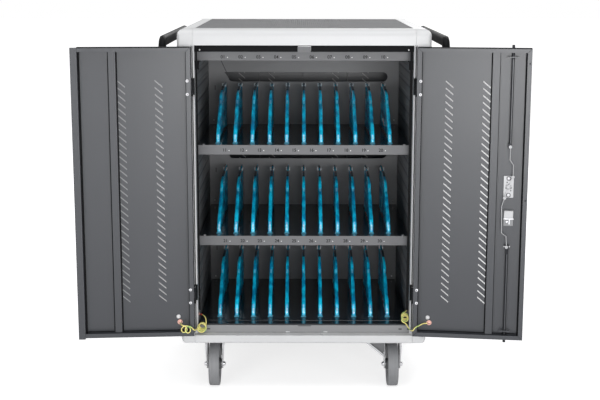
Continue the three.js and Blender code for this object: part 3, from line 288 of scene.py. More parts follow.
zinc = plated("zinc_plate", (0.42, 0.425, 0.44), 0.42, (1, 1, 0.08))
zinc_bright = plated("bright_zinc", (0.58, 0.58, 0.60), 0.36, (1, 0.1, 1))
black_steel = plated("blackened_steel", (0.030, 0.031, 0.034), 0.42, (1, 1, 0.05))
handle_plastic = moulded("handle_plastic", (0.0055, 0.0056, 0.0064), 0.46, 1500, 0.00012, shine=0.06)
socket_plastic = moulded("socket_plastic", (0.035, 0.036, 0.040), 0.34, 1200, 0.0001)
tray_plastic = moulded("tray_plastic", (0.0045, 0.0085, 0.0135), 0.17, 500, 0.00004)
print("metals and plastics made")

# %% [markdown]
# ## Floor, background and light
# The cart stands on a white studio floor that melts into a white background. The floor gives the
# lamp light back as any white paper does, and a plain white glow that only the eye and mirrors see
# is added to it. It keeps the paper clean while the soft shadow under the casters stays. Five large
# lamps stand round the cart as softboxes do: three low in front, one above and one behind.

# %% Floor and background
NEAR_GLOW, FAR_GLOW = 0.70, 1.0
FLOOR_REACH = 9.0
FLOOR_Z = -0.0004

floor_mesh = bpy.data.meshes.new("studio_floor")
floor_corners = [
    (-FLOOR_REACH, -FLOOR_REACH, FLOOR_Z), (FLOOR_REACH, -FLOOR_REACH, FLOOR_Z),
    (FLOOR_REACH, 3 * FLOOR_REACH, FLOOR_Z), (-FLOOR_REACH, 3 * FLOOR_REACH, FLOOR_Z),
]
floor_mesh.from_pydata(floor_corners, [], [(0, 1, 2, 3)])
studio_floor = bpy.data.objects.new("studio_floor", floor_mesh)
bpy.context.scene.collection.objects.link(studio_floor)


def seen_directly(tree):
    """One where a ray from the camera, a reflection or a clear body meets the surface, else zero."""
    rays = node(tree, "ShaderNodeLightPath")
    first = node(tree, "ShaderNodeMath", operation="MAXIMUM")
    both = node(tree, "ShaderNodeMath", operation="MAXIMUM")
    link(tree, rays, "Is Camera Ray", first, 0)
    link(tree, rays, "Is Glossy Ray", first, 1)
    link(tree, first, "Value", both, 0)
    link(tree, rays, "Is Transmission Ray", both, 1)
    return both


paper, tree, base = shader("white_paper", (0.86, 0.86, 0.865), 0.9)
base.inputs["Specular IOR Level"].default_value = 0.1
distance = node(tree, "ShaderNodeVectorMath", operation="LENGTH")
spread = node(tree, "ShaderNodeMapRange", From_Min=0.6, From_Max=2.4, To_Min=NEAR_GLOW, To_Max=FAR_GLOW)
strength = node(tree, "ShaderNodeMath", operation="MULTIPLY")
glow = node(tree, "ShaderNodeEmission")
both = node(tree, "ShaderNodeAddShader")
link(tree, place(tree), "Object", distance, "Vector")
link(tree, distance, "Value", spread, "Value")
link(tree, spread, "Result", strength, 0)
link(tree, seen_directly(tree), "Value", strength, 1)
link(tree, strength, "Value", glow, "Strength")
link(tree, base, "BSDF", both, 0)
link(tree, glow, "Emission", both, 1)
link(tree, both, "Shader", tree.nodes["Material Output"], "Surface")
floor_mesh.materials.append(paper)

AMBIENT = 0.18
world = bpy.data.worlds.new("studio")
bpy.context.scene.world = world
world.use_nodes = True
tree = world.node_tree
sky = tree.nodes["Background"]
sky.inputs["Color"].default_value = (1, 1, 1, 1)
sky_level = node(tree, "ShaderNodeMapRange", To_Min=AMBIENT, To_Max=1.0)
link(tree, seen_directly(tree), "Value", sky_level, "Value")
link(tree, sky_level, "Result", sky, "Strength")
print("floor and background ready")


# %% Lamps
def softbox(name, stand, aim, size, power):
    """A large lamp at one place, turned to another; places are in millimetres, sizes in metres."""
    lamp = bpy.data.lights.new(name, "AREA")
    lamp.shape = "RECTANGLE"
    lamp.size, lamp.size_y = size
    lamp.energy = power
    holder = bpy.data.objects.new(name, lamp)
    holder.location = at(*stand)
    holder.rotation_mode = "QUATERNION"
    holder.rotation_quaternion = (at(*aim) - holder.location).to_track_quat("-Z", "Y")
    bpy.context.scene.collection.objects.link(holder)


softbox("front_softbox", (640, -3600, 800), (0, 200, 600), (1.7, 1.2), 54)
softbox("left_softbox", (-1700, -3300, 1050), (0, 200, 600), (1.5, 1.5), 36)
softbox("right_softbox", (2500, -2700, 1200), (0, 200, 640), (1.2, 1.5), 14)
softbox("top_softbox", (0, -500, 3300), (0, 150, 600), (2.4, 2.4), 40)
softbox("rear_softbox", (900, 3700, 2900), (0, 600, 500), (2.0, 2.0), 34)
print("lamps:", len(bpy.data.lights))

# %% [markdown]
# ## Doors as their own grid
# Small parts on a door are easier to place by u, the way from the hinge edge, v, the depth from the
# outer skin, and z, the height. The hinge line and the opening angle come from the joint of each
# door, so a piece placed this way always sits on the door as the frame holds it.

# %% Places on the open doors
DOOR_EDGE = 303.7
DOOR_INSET = 1.0
DOOR_W = 302.5
DOOR_T = 21.6
DOOR_LOW, DOOR_HIGH = 176.0, 979.0
joints = {joint["name"]: joint for joint in frame["joints"]}


def door_grid(side, joint_name):
    """A function from u, v and z in millimetres to a place on one open front door."""
    joint = joints[joint_name]
    pivot = Vector(joint["pos_m"])
    opened = max(abs(angle) for angle in joint["range_deg"])
    turn = Matrix.Rotation(side * math.radians(opened), 4, "Z")

    def place_on_door(u, v, z):
        return pivot + turn @ (at(side * (DOOR_EDGE - u), DOOR_INSET + v, z) - pivot)

    return place_on_door


left_door = door_grid(-1, "front_door_left_hinge")
right_door = door_grid(1, "front_door_right_hinge")
FRONT_DOORS = (("left", left_door), ("right", right_door))
door_face = {grid: (grid(0, 10, 0) - grid(0, 0, 0)).normalized() for _, grid in FRONT_DOORS}
print("left door corner at", [round(c, 3) for c in left_door(0, 0, DOOR_LOW)])

# %% [markdown]
# ## Earth leads
# A green and yellow lead bonds each steel door to the cabinet. Its route is a list of points with
# worked-out turns where it is wound up, joined by a smooth curve. A ring of points is carried along
# that curve without twisting, which gives a tube whose UV map runs along the wire, so the two
# colours can follow it.

# %% Route of the leads
LEAD_R = 1.6
LOOP_R = (10.0, 9.8)
COIL_R = (9.4, 8.6)
BUNDLE_R = (12.6, 8.8)
TURN_POINTS = 12
LUG_U = 40
LUG_Z = 210.5
SKIN = 1.5
LINER_X = 300.6


def winding(start, end, radii, turns, first_angle, across, second):
    """Points of a coil between two centres and two radii in millimetres."""
    count = round(turns * TURN_POINTS)
    points = []
    for i in range(count + 1):
        angle = first_angle + 2 * math.pi * i / TURN_POINTS
        centre = Vector(start).lerp(Vector(end), i / count)
        radius = radii[0] + (radii[1] - radii[0]) * i / count
        points.append(at(*(centre + radius * (math.cos(angle) * across + math.sin(angle) * second))))
    return points


ALONG_X, ALONG_Z = Vector((1, 0, 0)), Vector((0, 0, 1))
ON_DOOR = SKIN + LEAD_R + 0.3
ON_LINER = LINER_X - 1.9 - LEAD_R
route_left = [
    left_door(LUG_U, ON_DOOR, LUG_Z),
    left_door(LUG_U - 2, 8, LUG_Z - 1),
    *winding((-338, -42, 200), (-317, -42, 198), LOOP_R, 2, -math.pi / 2, ALONG_X, -ALONG_Z),
    at(-305, -34, 194),
    at(-300, -14, 192),
    *winding((-288, 2, 189), (-286, 21, 192), BUNDLE_R, 4.5, math.pi, ALONG_X, ALONG_Z),
    at(-278, 32, 207),
    at(-286, 50, 213),
    at(-ON_LINER, 70, 211),
]
route_right = [
    right_door(LUG_U, ON_DOOR, LUG_Z),
    right_door(LUG_U - 10, 9, LUG_Z),
    right_door(LUG_U - 21, 21, LUG_Z - 2),
    right_door(LUG_U - 33, 27, LUG_Z - 8),
    at(304, -36, 194),
    at(297, -14, 192),
    *winding((286, 8, 213), (288, 44, 216), COIL_R, 3.5, math.pi / 2, ALONG_X, -ALONG_Z),
    at(ON_LINER - 2, 62, 226),
    at(ON_LINER, 78, 224),
]
print("route points:", len(route_left), len(route_right))

# %% Smooth curve
CURVE_STEPS = 40
EASE_ROUNDS = 600
EASE_SHARE = 0.35


def smooth_route(points, spacing):
    """A centripetal Catmull-Rom curve through the points, at even steps, and its length."""
    padded = [2 * points[0] - points[1], *points, 2 * points[-1] - points[-2]]
    fine = []
    for a, b, c, d in zip(padded, padded[1:], padded[2:], padded[3:]):
        t1 = (b - a).length ** 0.5
        t2 = t1 + (c - b).length ** 0.5
        t3 = t2 + (d - c).length ** 0.5
        for i in range(CURVE_STEPS):
            t = t1 + (t2 - t1) * i / CURVE_STEPS
            ab = a.lerp(b, t / t1)
            bc = b.lerp(c, (t - t1) / (t2 - t1))
            cd = c.lerp(d, (t - t2) / (t3 - t2))
            abc = ab.lerp(bc, t / t2)
            bcd = bc.lerp(cd, (t - t1) / (t3 - t1))
            fine.append(abc.lerp(bcd, (t - t1) / (t2 - t1)))
    fine.append(points[-1])
    total = sum((q - p).length for p, q in zip(fine, fine[1:]))
    steps = round(total / spacing)
    evened, walked, target = [fine[0]], 0.0, total / steps
    for p, q in zip(fine, fine[1:]):
        length = (q - p).length
        while walked + length >= target and len(evened) < steps:
            evened.append(p.lerp(q, (target - walked) / length))
            target += total / steps
        walked += length
    evened.append(fine[-1])
    return evened, total


def bend_radius(a, b, c):
    """The radius of the circle through three points."""
    four_areas = 2 * (b - a).cross(c - a).length
    return (b - a).length * (c - b).length * (c - a).length / max(four_areas, 1e-12)


def ease(path, limit):
    """Opens tight bends: their points move toward the middle of their neighbours, step by step."""
    eased = list(path)
    for _ in range(EASE_ROUNDS):
        tight = [i for i in range(1, len(eased) - 1) if bend_radius(*eased[i - 1:i + 2]) < limit]
        for i in tight:
            eased[i] = eased[i].lerp((eased[i - 1] + eased[i + 1]) / 2, EASE_SHARE)
        if not tight:
            break
    return eased


LEAD_STEP = 2.6 * MM
BEND_LIMIT = 6.5 * MM
paths, lengths = {}, {}
for side, route in (("left", route_left), ("right", route_right)):
    drawn, _ = smooth_route(route, LEAD_STEP)
    path, lengths[side] = smooth_route(ease(drawn, BEND_LIMIT), LEAD_STEP)
    tightest = min(bend_radius(*points) for points in zip(path, path[1:], path[2:]))
    paths[side] = path
    print("lead", side, round(lengths[side], 3), "m, tightest bend", round(tightest / MM, 1), "mm")


# %% Tubes and insulation
TUBE_SIDES = 10
UV_PER_METRE = 10


def new_piece(name, shape, *finishes):
    """Turns a bmesh into an object at the origin, with its finishes."""
    mesh = bpy.data.meshes.new(name)
    shape.to_mesh(mesh)
    shape.free()
    piece = bpy.data.objects.new(name, mesh)
    bpy.context.scene.collection.objects.link(piece)
    for finish in finishes:
        mesh.materials.append(finish)
    return piece


def tube(path, radius, sides):
    """A closed tube round a path, with a UV map round and along it."""
    shape = bmesh.new()
    uv = shape.loops.layers.uv.new("along")
    last = len(path) - 1
    tangents = [(path[min(i + 1, last)] - path[max(i - 1, 0)]).normalized() for i in range(len(path))]
    angles = [2 * math.pi * k / sides for k in range(sides)]
    across = tangents[0].orthogonal()
    rings, walked = [], [0.0]
    for i, (point, tangent) in enumerate(zip(path, tangents)):
        across = (across - tangent * across.dot(tangent)).normalized()
        second = tangent.cross(across)
        spots = [point + radius * (math.cos(a) * across + math.sin(a) * second) for a in angles]
        rings.append([shape.verts.new(spot) for spot in spots])
        if i:
            walked.append(walked[-1] + (point - path[i - 1]).length)
    for i in range(last):
        for k in range(sides):
            corners = [(i, k), (i, k + 1), (i + 1, k + 1), (i + 1, k)]
            face = shape.faces.new([rings[r][s % sides] for r, s in corners])
            face.smooth = True
            for loop, (r, s) in zip(face.loops, corners):
                loop[uv].uv = (s / sides, walked[r] * UV_PER_METRE)
    shape.faces.new(list(reversed(rings[0])))
    shape.faces.new(rings[-1])
    return shape


def lead_insulation():
    """Yellow with a green stripe that winds slowly round the wire."""
    material, tree, base = shader("green_yellow_insulation", (0.62, 0.55, 0.05), 0.38)
    uv = node(tree, "ShaderNodeUVMap", uv_map="along")
    parts = node(tree, "ShaderNodeSeparateXYZ")
    twist = node(tree, "ShaderNodeMath", operation="MULTIPLY_ADD")
    twist.inputs[1].default_value = 2.0
    turn = node(tree, "ShaderNodeMath", operation="FRACT")
    link(tree, uv, "UV", parts, "Vector")
    link(tree, parts, "Y", twist, 0)
    link(tree, parts, "X", twist, 2)
    link(tree, twist, "Value", turn, 0)
    stripes = ramp(tree, turn, "Value", 0.0, 0.79, (0.90, 0.79, 0.27), (0.20, 0.46, 0.12))
    stripes.color_ramp.interpolation = "CONSTANT"
    link(tree, stripes, "Color", base, "Base Color")
    grain = noise(tree, 900)
    vary(tree, base, grain, 0.3, 0.7, 0.32, 0.46)
    bump(tree, base, grain, 0.1, 0.00005)
    return material


insulation = lead_insulation()
wires = {}
for side, path in paths.items():
    wires[side] = new_piece(f"earth_lead_{side}_wire", tube(path, LEAD_R * MM, TUBE_SIDES), insulation)
    print("tube", side, len(wires[side].data.polygons), "faces")

# %% [markdown]
# ## Rounded copies of the sheet metal
# A solid from the frame has knife-sharp edges, and folded sheet never has. `dress` takes a merged
# copy of a solid's mesh, puts a narrow bevel on each sharp edge and weights the normals by face area,
# so that flat faces stay flat and every edge catches a thin line of light. The copy rides on the
# same body and stands in for the solid. The doors keep their sharp folds, which show as crisp lines.


# %% Rounded copies
def merged_copy(node_name, whole_faces):
    """A bmesh of one solid with its doubled corners joined and, if asked, its flat faces made whole."""
    source = frame["nodes"][node_name].data
    shape = bmesh.new()
    corners = [shape.verts.new(vertex.co) for vertex in source.vertices]
    for polygon in source.polygons:
        shape.faces.new([corners[i] for i in polygon.vertices])
    bmesh.ops.remove_doubles(shape, verts=shape.verts, dist=1e-5)
    if whole_faces:
        bmesh.ops.dissolve_limit(shape, angle_limit=math.radians(0.8), verts=shape.verts, edges=shape.edges)
    return shape


def settle(piece):
    """Applies the modifiers of a piece to a plain mesh of its own."""
    graph = bpy.context.evaluated_depsgraph_get()
    evaluated = piece.evaluated_get(graph)
    flat = bpy.data.meshes.new_from_object(evaluated, preserve_all_data_layers=True, depsgraph=graph)
    piece.modifiers.clear()
    piece.data = flat
    return piece


def soften(piece, width, segments=2, angle=34):
    """Bevels the sharp edges of a piece and shades it by area-weighted normals."""
    piece.data.shade_smooth()
    bevel = piece.modifiers.new("edge", "BEVEL")
    bevel.width = width * MM
    bevel.segments = segments
    bevel.limit_method = "ANGLE"
    bevel.angle_limit = math.radians(angle)
    bevel.use_clamp_overlap = False
    normals = piece.modifiers.new("shading", "WEIGHTED_NORMAL")
    normals.keep_sharp = True
    return settle(piece)


def belong(piece, body):
    """Lets a piece ride on a body."""
    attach(piece, body)
    return piece


def body_of(node_name):
    """The body that carries a solid."""
    return frame["nodes"][node_name]["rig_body"]


def dress(node_names, finish, width=0.6, segments=2, angle=34):
    """Stands a rounded copy in for each of the solids; a width of zero leaves the edges sharp."""
    for node_name in node_names:
        piece = new_piece(f"{node_name}_skin", merged_copy(node_name, width > 0), finish)
        if width:
            soften(piece, width, segments, angle)
        belong(piece, body_of(node_name))
        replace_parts(piece, node_name)
    print("dressed", len(node_names), "pieces in", finish.name)


FRAME_PIECES = [
    "front_column_left", "front_column_right", "rear_column_left", "rear_column_right",
    "top_rail_front", "top_rail_rear", "top_rail_left", "top_rail_right",
    "bottom_rail_front", "bottom_rail_rear", "top_panel",
]
CABINET_PIECES = [
    "side_panel_left", "side_panel_right", "shelf_lower", "shelf_middle", "shelf_upper", "header_beam",
]
dress(FRAME_PIECES, frame_coat, 0.35)
dress(CABINET_PIECES, cabinet_coat, 0.45)
dress(["side_liner_left", "side_liner_right", "back_wall"], wall_coat, 0.45)
DOORS = ["front_door_left", "front_door_right", "rear_door_left", "rear_door_right"]
dress(DOORS, door_coat_and_rod_highlight, 0)
dress(["chassis"], dark_coat_and_painted_shade, 0.5)

# %% [markdown]
# ## Dividers
# A divider is a thin glossy web with a rounded bead all round its edge, thick in front and slimmer
# behind. Its front edge climbs in three steps. The bead is drawn as one section that is carried
# round the outline, and the web fills the middle. Faces carry two values: thin marks the web, and
# the painted light value marks painted highlights on the bead and along its rear and bottom edges,
# with a negative value for painted shade on the foot.

# %% Web and bead
EDGE_LINE = [
    (0, 4, 5.6), (0, 12, 5.7), (6, 24, 5.7), (36, 49, 5.6), (44, 53, 5.0), (54, 55, 5.4), (78, 72, 5.4),
    (104, 92, 5.2), (114, 97, 4.8), (126, 99, 5.0), (134, 108, 4.9), (146, 120, 4.7), (164, 127, 4.4),
    (230, 133, 4.0), (310, 137, 3.8),
]
DIVIDER_BACK = 382.5
DIVIDER_TOP = 138
TOP_LINE = [(y, DIVIDER_TOP, 3.4) for y in (330, 352, DIVIDER_BACK)]
FOOT_LINE = [(DIVIDER_BACK, 0, 3.6), (250, 0, 3.6), (120, 0, 3.8), (0, 0, 4.6)]
BEAD_SECTION = [(0, 0.45), (0.1, 0.8), (0.35, 1.0), (0.7, 0.8)]
BEAD = 9.0
WEB = 1.5


def web_and_bead(line):
    """A divider at the origin from its outline of (y, h, half width of the bead) in millimetres."""
    shape = bmesh.new()
    count = len(line)
    rings, inner = [], []
    for i, (y, h, half) in enumerate(line):
        here = Vector((y, h))
        first = (here - Vector(line[i - 1][:2])).normalized()
        second = (Vector(line[(i + 1) % count][:2]) - here).normalized()
        along = (first + second).normalized()
        inward = Vector((along.y, -along.x)) / max(0.6, along.dot(second))
        profile = [(depth * BEAD, share * half) for depth, share in BEAD_SECTION] + [(BEAD, WEB)]
        profile += [(depth, -side) for depth, side in reversed(profile)]
        spots = [(side, here + inward * depth) for depth, side in profile]
        rings.append([shape.verts.new(Vector((side, *spot)) * MM) for side, spot in spots])
        inner.append(here + inward * BEAD)
    size = len(rings[0])
    web_left, web_right = size // 2 - 1, size // 2
    for ring, following in zip(rings, rings[1:] + rings[:1]):
        for k in range(size):
            n = (k + 1) % size
            if k != web_left:
                shape.faces.new([ring[k], ring[n], following[n], following[k]])
    triangles = tessellate_polygon([[Vector((*spot, 0)) for spot in inner]])
    for pick in (web_left, web_right):
        for triangle in triangles:
            shape.faces.new([rings[k][pick] for k in triangle])
    return shape


def outward(shape):
    """Turns the faces of closed bodies outward."""
    bmesh.ops.recalc_face_normals(shape, faces=shape.faces)
    shape.normal_update()
    return shape


divider_shape = outward(web_and_bead(EDGE_LINE + TOP_LINE + FOOT_LINE))
thin = divider_shape.faces.layers.float.new("thin")
painted_light = divider_shape.faces.layers.float.new("painted_light")
for face in divider_shape.faces:
    flat = all(abs(vertex.co.x) < 1.6 * WEB * MM for vertex in face.verts)
    face[thin] = 1.0 if flat and abs(face.normal.x) > 0.9 else 0.0
    spot = face.calc_center_median() / MM
    on_ridge = abs(spot.x) < 1.5
    # Painted light: a bright painted highlight low on the front bead, a fainter one at the middle step, and
    # lighter painted highlights along the rear and bottom edges.
    if on_ridge and spot.y < 9 and 8 < spot.z < 26:
        face[painted_light] = 0.5
    elif on_ridge and 99 < spot.z < 112 and spot.y < 146:
        face[painted_light] = 0.25
    elif spot.y > DIVIDER_BACK - BEAD or spot.z < 4:
        face[painted_light] = 0.4
print("web and bead:", len(divider_shape.faces), "faces")

# %% [markdown]
# Slanting ribs stiffen the web, a stepped foot sits in the tray, and a dark cable clip with a pale
# hook lies in the top. All of these are bodies between two or more outlines with the same number of
# corners, so one builder, `loft`, closes them all. It serves for the other small parts as well.


# %% Ribs, foot, clip and hook
def loft(shape, outlines):
    """A closed body through outlines that have the same number of points."""
    rings = [[shape.verts.new(point) for point in outline] for outline in outlines]
    shape.faces.new(rings[0])
    shape.faces.new(list(reversed(rings[-1])))
    for near, far in zip(rings, rings[1:]):
        for k in range(len(near)):
            n = (k + 1) % len(near)
            shape.faces.new([near[n], near[k], far[k], far[n]])


def rib(shape, start, end, half, thick):
    """A slanting rib on both sides of the web between two (y, h) points, half as wide on its face."""
    start, end = Vector(start), Vector(end)
    along = (end - start).normalized()
    across = Vector((-along.y, along.x)) * half
    outlines = []
    for x, share in ((-thick, 0.5), (-WEB * 0.8, 1), (WEB * 0.8, 1), (thick, 0.5)):
        edge = across * share
        corners = (start - edge, end - edge, end + edge, start + edge)
        outlines.append([Vector((x, *corner)) * MM for corner in corners])
    loft(shape, outlines)


def slab(shape, low, high, taper=0.0):
    """A block between two corners in millimetres, with its upper edges drawn in by the taper."""
    outlines = []
    for z, pull in ((low[2], 0), (high[2], taper)):
        left, right = low[0] + pull, high[0] - pull
        front, back = low[1] + pull, high[1] - pull
        corners = ((left, front), (right, front), (right, back), (left, back))
        outlines.append([Vector((x, y, z)) * MM for x, y in corners])
    loft(shape, outlines)


RIBS = (((40, 14), (96, 70)), ((110, 14), (176, 92)), ((190, 14), (258, 106)), ((270, 14), (330, 90)))
for start, end in RIBS:
    rib(divider_shape, start, end, 4, 2.8)
upper_faces = set(divider_shape.faces)
slab(divider_shape, (-7.5, -2, 0), (7.5, 16, 2.6), 0.9)
slab(divider_shape, (-5.2, -0.6, 2.4), (5.2, 12, 6.0), 1.6)
# The foot faces get a negative value: painted shade low against the tray.
for face in divider_shape.faces:
    if face not in upper_faces:
        face[painted_light] = -1.0
CLIP_SIDE = [(200, 127), (206, 133.4), (250, 137.2), (262, 137.6), (262, 132.5), (240, 131)]
CLIP_HALF = 3.0
clip_shape = bmesh.new()
loft(clip_shape, [[Vector((x, y, h)) * MM for y, h in CLIP_SIDE] for x in (-CLIP_HALF, CLIP_HALF)])
hook_shape = bmesh.new()
for x in (-5.4, 5.4):
    slab(hook_shape, (x - 1.0, 306, 134), (x + 1.0, 322, 140.5), 0.4)
slab(hook_shape, (-6.2, 306, 132), (6.2, 322, 134.4), 0.3)
slab(hook_shape, (-6.4, 305, 139.0), (-3.0, 323, 140.6), 0.3)
print("one divider:", len(divider_shape.faces), "faces")

# %% [markdown]
# The dividers are tinted right through, so their tone wanders with the flow of the plastic. The web
# is thin. A share of clear blue lets a little light through it, and a shading normal that leans to
# the front stands in for the light that it spreads.

# %% Blue plastic
VECTOR_A, VECTOR_B, VECTOR_OUT = 4, 5, 1
LEAN = 0.85
CLEAR_SHARE = 0.14


def times(tree, source, factor):
    """The value of an attribute, multiplied by a factor."""
    product = node(tree, "ShaderNodeMath", operation="MULTIPLY")
    product.inputs[1].default_value = factor
    link(tree, source, "Fac", product, 0)
    return product


def blue_plastic():
    """Glossy tinted plastic with long flow lines, with painted highlights and painted shade where the
    attribute says so.
    """
    material, tree, base = shader("blue_divider_plastic", (0.004, 0.40, 0.62), 0.10)
    base.inputs["Coat Weight"].default_value = 0.5
    base.inputs["Coat Roughness"].default_value = 0.04
    flow = noise(tree, 70, 3, (1, 0.2, 0.8))
    tone = ramp(tree, flow, "Fac", 0.38, 0.62, (0.002, 0.23, 0.46), (0.008, 0.66, 0.98))
    # Above zero the painted light value mixes in a pale cyan painted highlight; below zero it mixes in a
    # deep blue painted shade.
    painted_light = node(tree, "ShaderNodeAttribute", attribute_name="painted_light")
    edge = node(tree, "ShaderNodeMix", data_type="RGBA")
    edge.inputs[COLOUR_B].default_value = (0.46, 0.84, 0.93, 1)
    link(tree, painted_light, "Fac", edge, 0)
    link(tree, tone, "Color", edge, COLOUR_A)
    deep = node(tree, "ShaderNodeMix", data_type="RGBA")
    deep.inputs[COLOUR_B].default_value = (0.004, 0.22, 0.34, 1)
    link(tree, times(tree, painted_light, -1.0), "Value", deep, 0)
    link(tree, edge, COLOUR_OUT, deep, COLOUR_A)
    link(tree, deep, COLOUR_OUT, base, "Base Color")
    thin = node(tree, "ShaderNodeAttribute", attribute_name="thin")
    surface = node(tree, "ShaderNodeNewGeometry")
    lean = node(tree, "ShaderNodeMix", data_type="VECTOR")
    lean.inputs[VECTOR_B].default_value = (0, -1, 0)
    link(tree, times(tree, thin, LEAN), "Value", lean, 0)
    link(tree, surface, "Normal", lean, VECTOR_A)
    link(tree, lean, VECTOR_OUT, base, "Normal")
    bump(tree, base, noise(tree, 60, 1, (1, 0.5, 1)), 0.15, 0.001)
    vary(tree, base, noise(tree, 700), 0.3, 0.7, 0.08, 0.14)
    let_through(tree, base, times(tree, thin, CLEAR_SHARE), "Value", (0.10, 0.76, 1.0, 1))
    return material


divider_plastic = blue_plastic()
clip_plastic = moulded("clip_plastic", (0.004, 0.016, 0.026), 0.4, 900, 0.0001)
hook_plastic = moulded("hook_plastic", (0.36, 0.43, 0.46), 0.36, 900, 0.0001)
divider = new_piece("divider_pattern", outward(divider_shape), divider_plastic)
divider.data.shade_smooth()
divider.data.set_sharp_from_angle(angle=math.radians(50))
clip = new_piece("clip_pattern", outward(clip_shape), clip_plastic)
hook = new_piece("hook_pattern", outward(hook_shape), hook_plastic)
print("finish:", divider_plastic.name)

# %% [markdown]
# Eleven dividers stand in each tray. A Geometry Nodes tree sets copies of one pattern along a line:
# Mesh Line makes the points, Instance on Points sets the copies, Realize Instances turns them into
# mesh and Set Material paints them. The result is kept as a plain mesh.

# %% Rows of dividers
TRAY_BASE = 3.0
TRAY_FRONT = 35.5
BAY_PITCH = 48.48
DIVIDERS = 11
LEVELS = ("lower", "middle", "upper")


def copies_tree(name, inputs):
    """Starts a node group that sets copies of a shape on points; gives its input and copying nodes too."""
    tree = bpy.data.node_groups.new(name, "GeometryNodeTree")
    for title, kind in (*inputs, ("Shape", "Object"), ("Finish", "Material")):
        tree.interface.new_socket(title, in_out="INPUT", socket_type=f"NodeSocket{kind}")
    tree.interface.new_socket("Geometry", in_out="OUTPUT", socket_type="NodeSocketGeometry")
    given = node(tree, "NodeGroupInput")
    result = node(tree, "NodeGroupOutput")
    pattern = node(tree, "GeometryNodeObjectInfo", As_Instance=True)
    copies = node(tree, "GeometryNodeInstanceOnPoints")
    solid = node(tree, "GeometryNodeRealizeInstances")
    painted = node(tree, "GeometryNodeSetMaterial")
    link(tree, given, "Shape", pattern, "Object")
    link(tree, pattern, "Geometry", copies, "Instance")
    link(tree, copies, "Instances", solid, "Geometry")
    link(tree, solid, "Geometry", painted, "Geometry")
    link(tree, given, "Finish", painted, "Material")
    link(tree, painted, "Geometry", result, "Geometry")
    return tree, given, copies


def run_tree(piece, tree, **values):
    """Runs a node group on a piece with the given inputs and keeps the result as a plain mesh."""
    modifier = piece.modifiers.new("copies", "NODES")
    modifier.node_group = tree
    for item in tree.interface.items_tree:
        if item.in_out == "INPUT" and item.name in values:
            modifier[item.identifier] = values[item.name]
    return settle(piece)


ROW_INPUTS = (("Count", "Int"), ("Start", "Vector"), ("Step", "Vector"))
in_a_row, given, copies = copies_tree("row_along_a_line", ROW_INPUTS)
line = node(in_a_row, "GeometryNodeMeshLine", mode="OFFSET")
link(in_a_row, given, "Count", line, "Count")
link(in_a_row, given, "Start", line, "Start Location")
link(in_a_row, given, "Step", line, "Offset")
link(in_a_row, line, "Mesh", copies, "Points")


def row_of(name, shape, finish, count, start):
    """A plain piece with copies of a shape at the pitch of the bays."""
    step = (BAY_PITCH * MM, 0, 0)
    empty = new_piece(name, bmesh.new())
    return run_tree(empty, in_a_row, Shape=shape, Count=count, Start=start, Step=step, Finish=finish)


for level in LEVELS:
    tray_node = f"divider_tray_{level}"
    body = body_of(tray_node)
    low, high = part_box(tray_node)
    first_x = MID_X - (DIVIDERS - 1) / 2 * BAY_PITCH * MM
    start = (first_x, low.y + TRAY_FRONT * MM, low.z + TRAY_BASE * MM)
    row = belong(row_of(f"dividers_{level}", divider, divider_plastic, DIVIDERS, start), body)
    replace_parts(row, tray_node)
    for title, shape, finish in (("clips", clip, clip_plastic), ("hooks", hook, hook_plastic)):
        belong(row_of(f"divider_{title}_{level}", shape, finish, DIVIDERS, start), body)
    plate = bmesh.new()
    slab(plate, low / MM, (high.x / MM, high.y / MM, low.z / MM + TRAY_BASE), 0.8)
    tray = soften(new_piece(f"tray_floor_{level}", outward(plate), tray_plastic), 0.6)
    belong(tray, body)
    print("dividers", level, len(row.data.polygons), "faces")
for made in (divider, clip, hook):
    bpy.data.objects.remove(made)

# %% [markdown]
# ## Moulded and plated parts
# The bow handles, the lock's handle, the inlet and the socket strips are moulded in black plastic,
# with wider rounds than sheet metal has. The lock's rods are blackened steel; its links and plates,
# the rear key lock and the caster plates are zinc plated.

# %% Moulded and plated parts
dress(["bow_handle_left", "bow_handle_right"], handle_plastic, 1.0, 2, 50)
dress([f"socket_strip_{level}" for level in LEVELS], socket_plastic, 0.8)
dress(["mains_inlet", "lock_handle"], handle_plastic, 0.5)
dress(["lock_rod_upper", "lock_rod_lower"], black_steel, 0.35)
link_zinc = plated("link_zinc", (0.30, 0.302, 0.31), 0.5, (1, 1, 0.1))
dress(["lock_body", "lock_link_upper", "lock_link_lower"], link_zinc, 0.35)
dress(["lock_base_plate", "rear_key_lock"], zinc, 0.35)
CASTERS = [f"{end}_{side}" for end in ("front", "rear") for side in ("left", "right")]
dress([f"caster_plate_{corner}" for corner in CASTERS], zinc, 0.5)
pedal_zinc = powder_coat("pedal_zinc", (0.13, 0.132, 0.138), 0.4, 700, 0.06)
dress(["brake_pedal"], pedal_zinc, 0.5)

# %% [markdown]
# ## Small parts
# Three little builders serve for the small parts: `turned` spins a profile as a lathe does, `block`
# makes a box on any grid, on the cart's own or on a door's, and `strip` lays a thin line between two
# points of a face. `fix` then rounds the edges and rides the piece on its body.


# %% Builders for small parts
def turned(shape, foot, axis, profile, sides=24):
    """A turned part; each step of the profile is a radius and a height along the axis in millimetres."""
    up = axis.normalized()
    first = up.orthogonal().normalized()
    second = up.cross(first)
    rings = []
    for radius, height in profile:
        centre = foot + up * (height * MM)
        angles = [2 * math.pi * k / sides for k in range(sides)] if radius else [0]
        spots = [centre + radius * MM * (math.cos(a) * first + math.sin(a) * second) for a in angles]
        rings.append([shape.verts.new(spot) for spot in spots])
    pairs = list(zip(rings, rings[1:]))
    if profile[0][0]:
        pairs.append((rings[-1], rings[0]))
    for low, high in pairs:
        for k in range(sides):
            n = (k + 1) % sides
            corners = [low[k % len(low)], low[n % len(low)], high[n % len(high)], high[k % len(high)]]
            face = shape.faces.new(list(dict.fromkeys(corners)))
            face.smooth = True


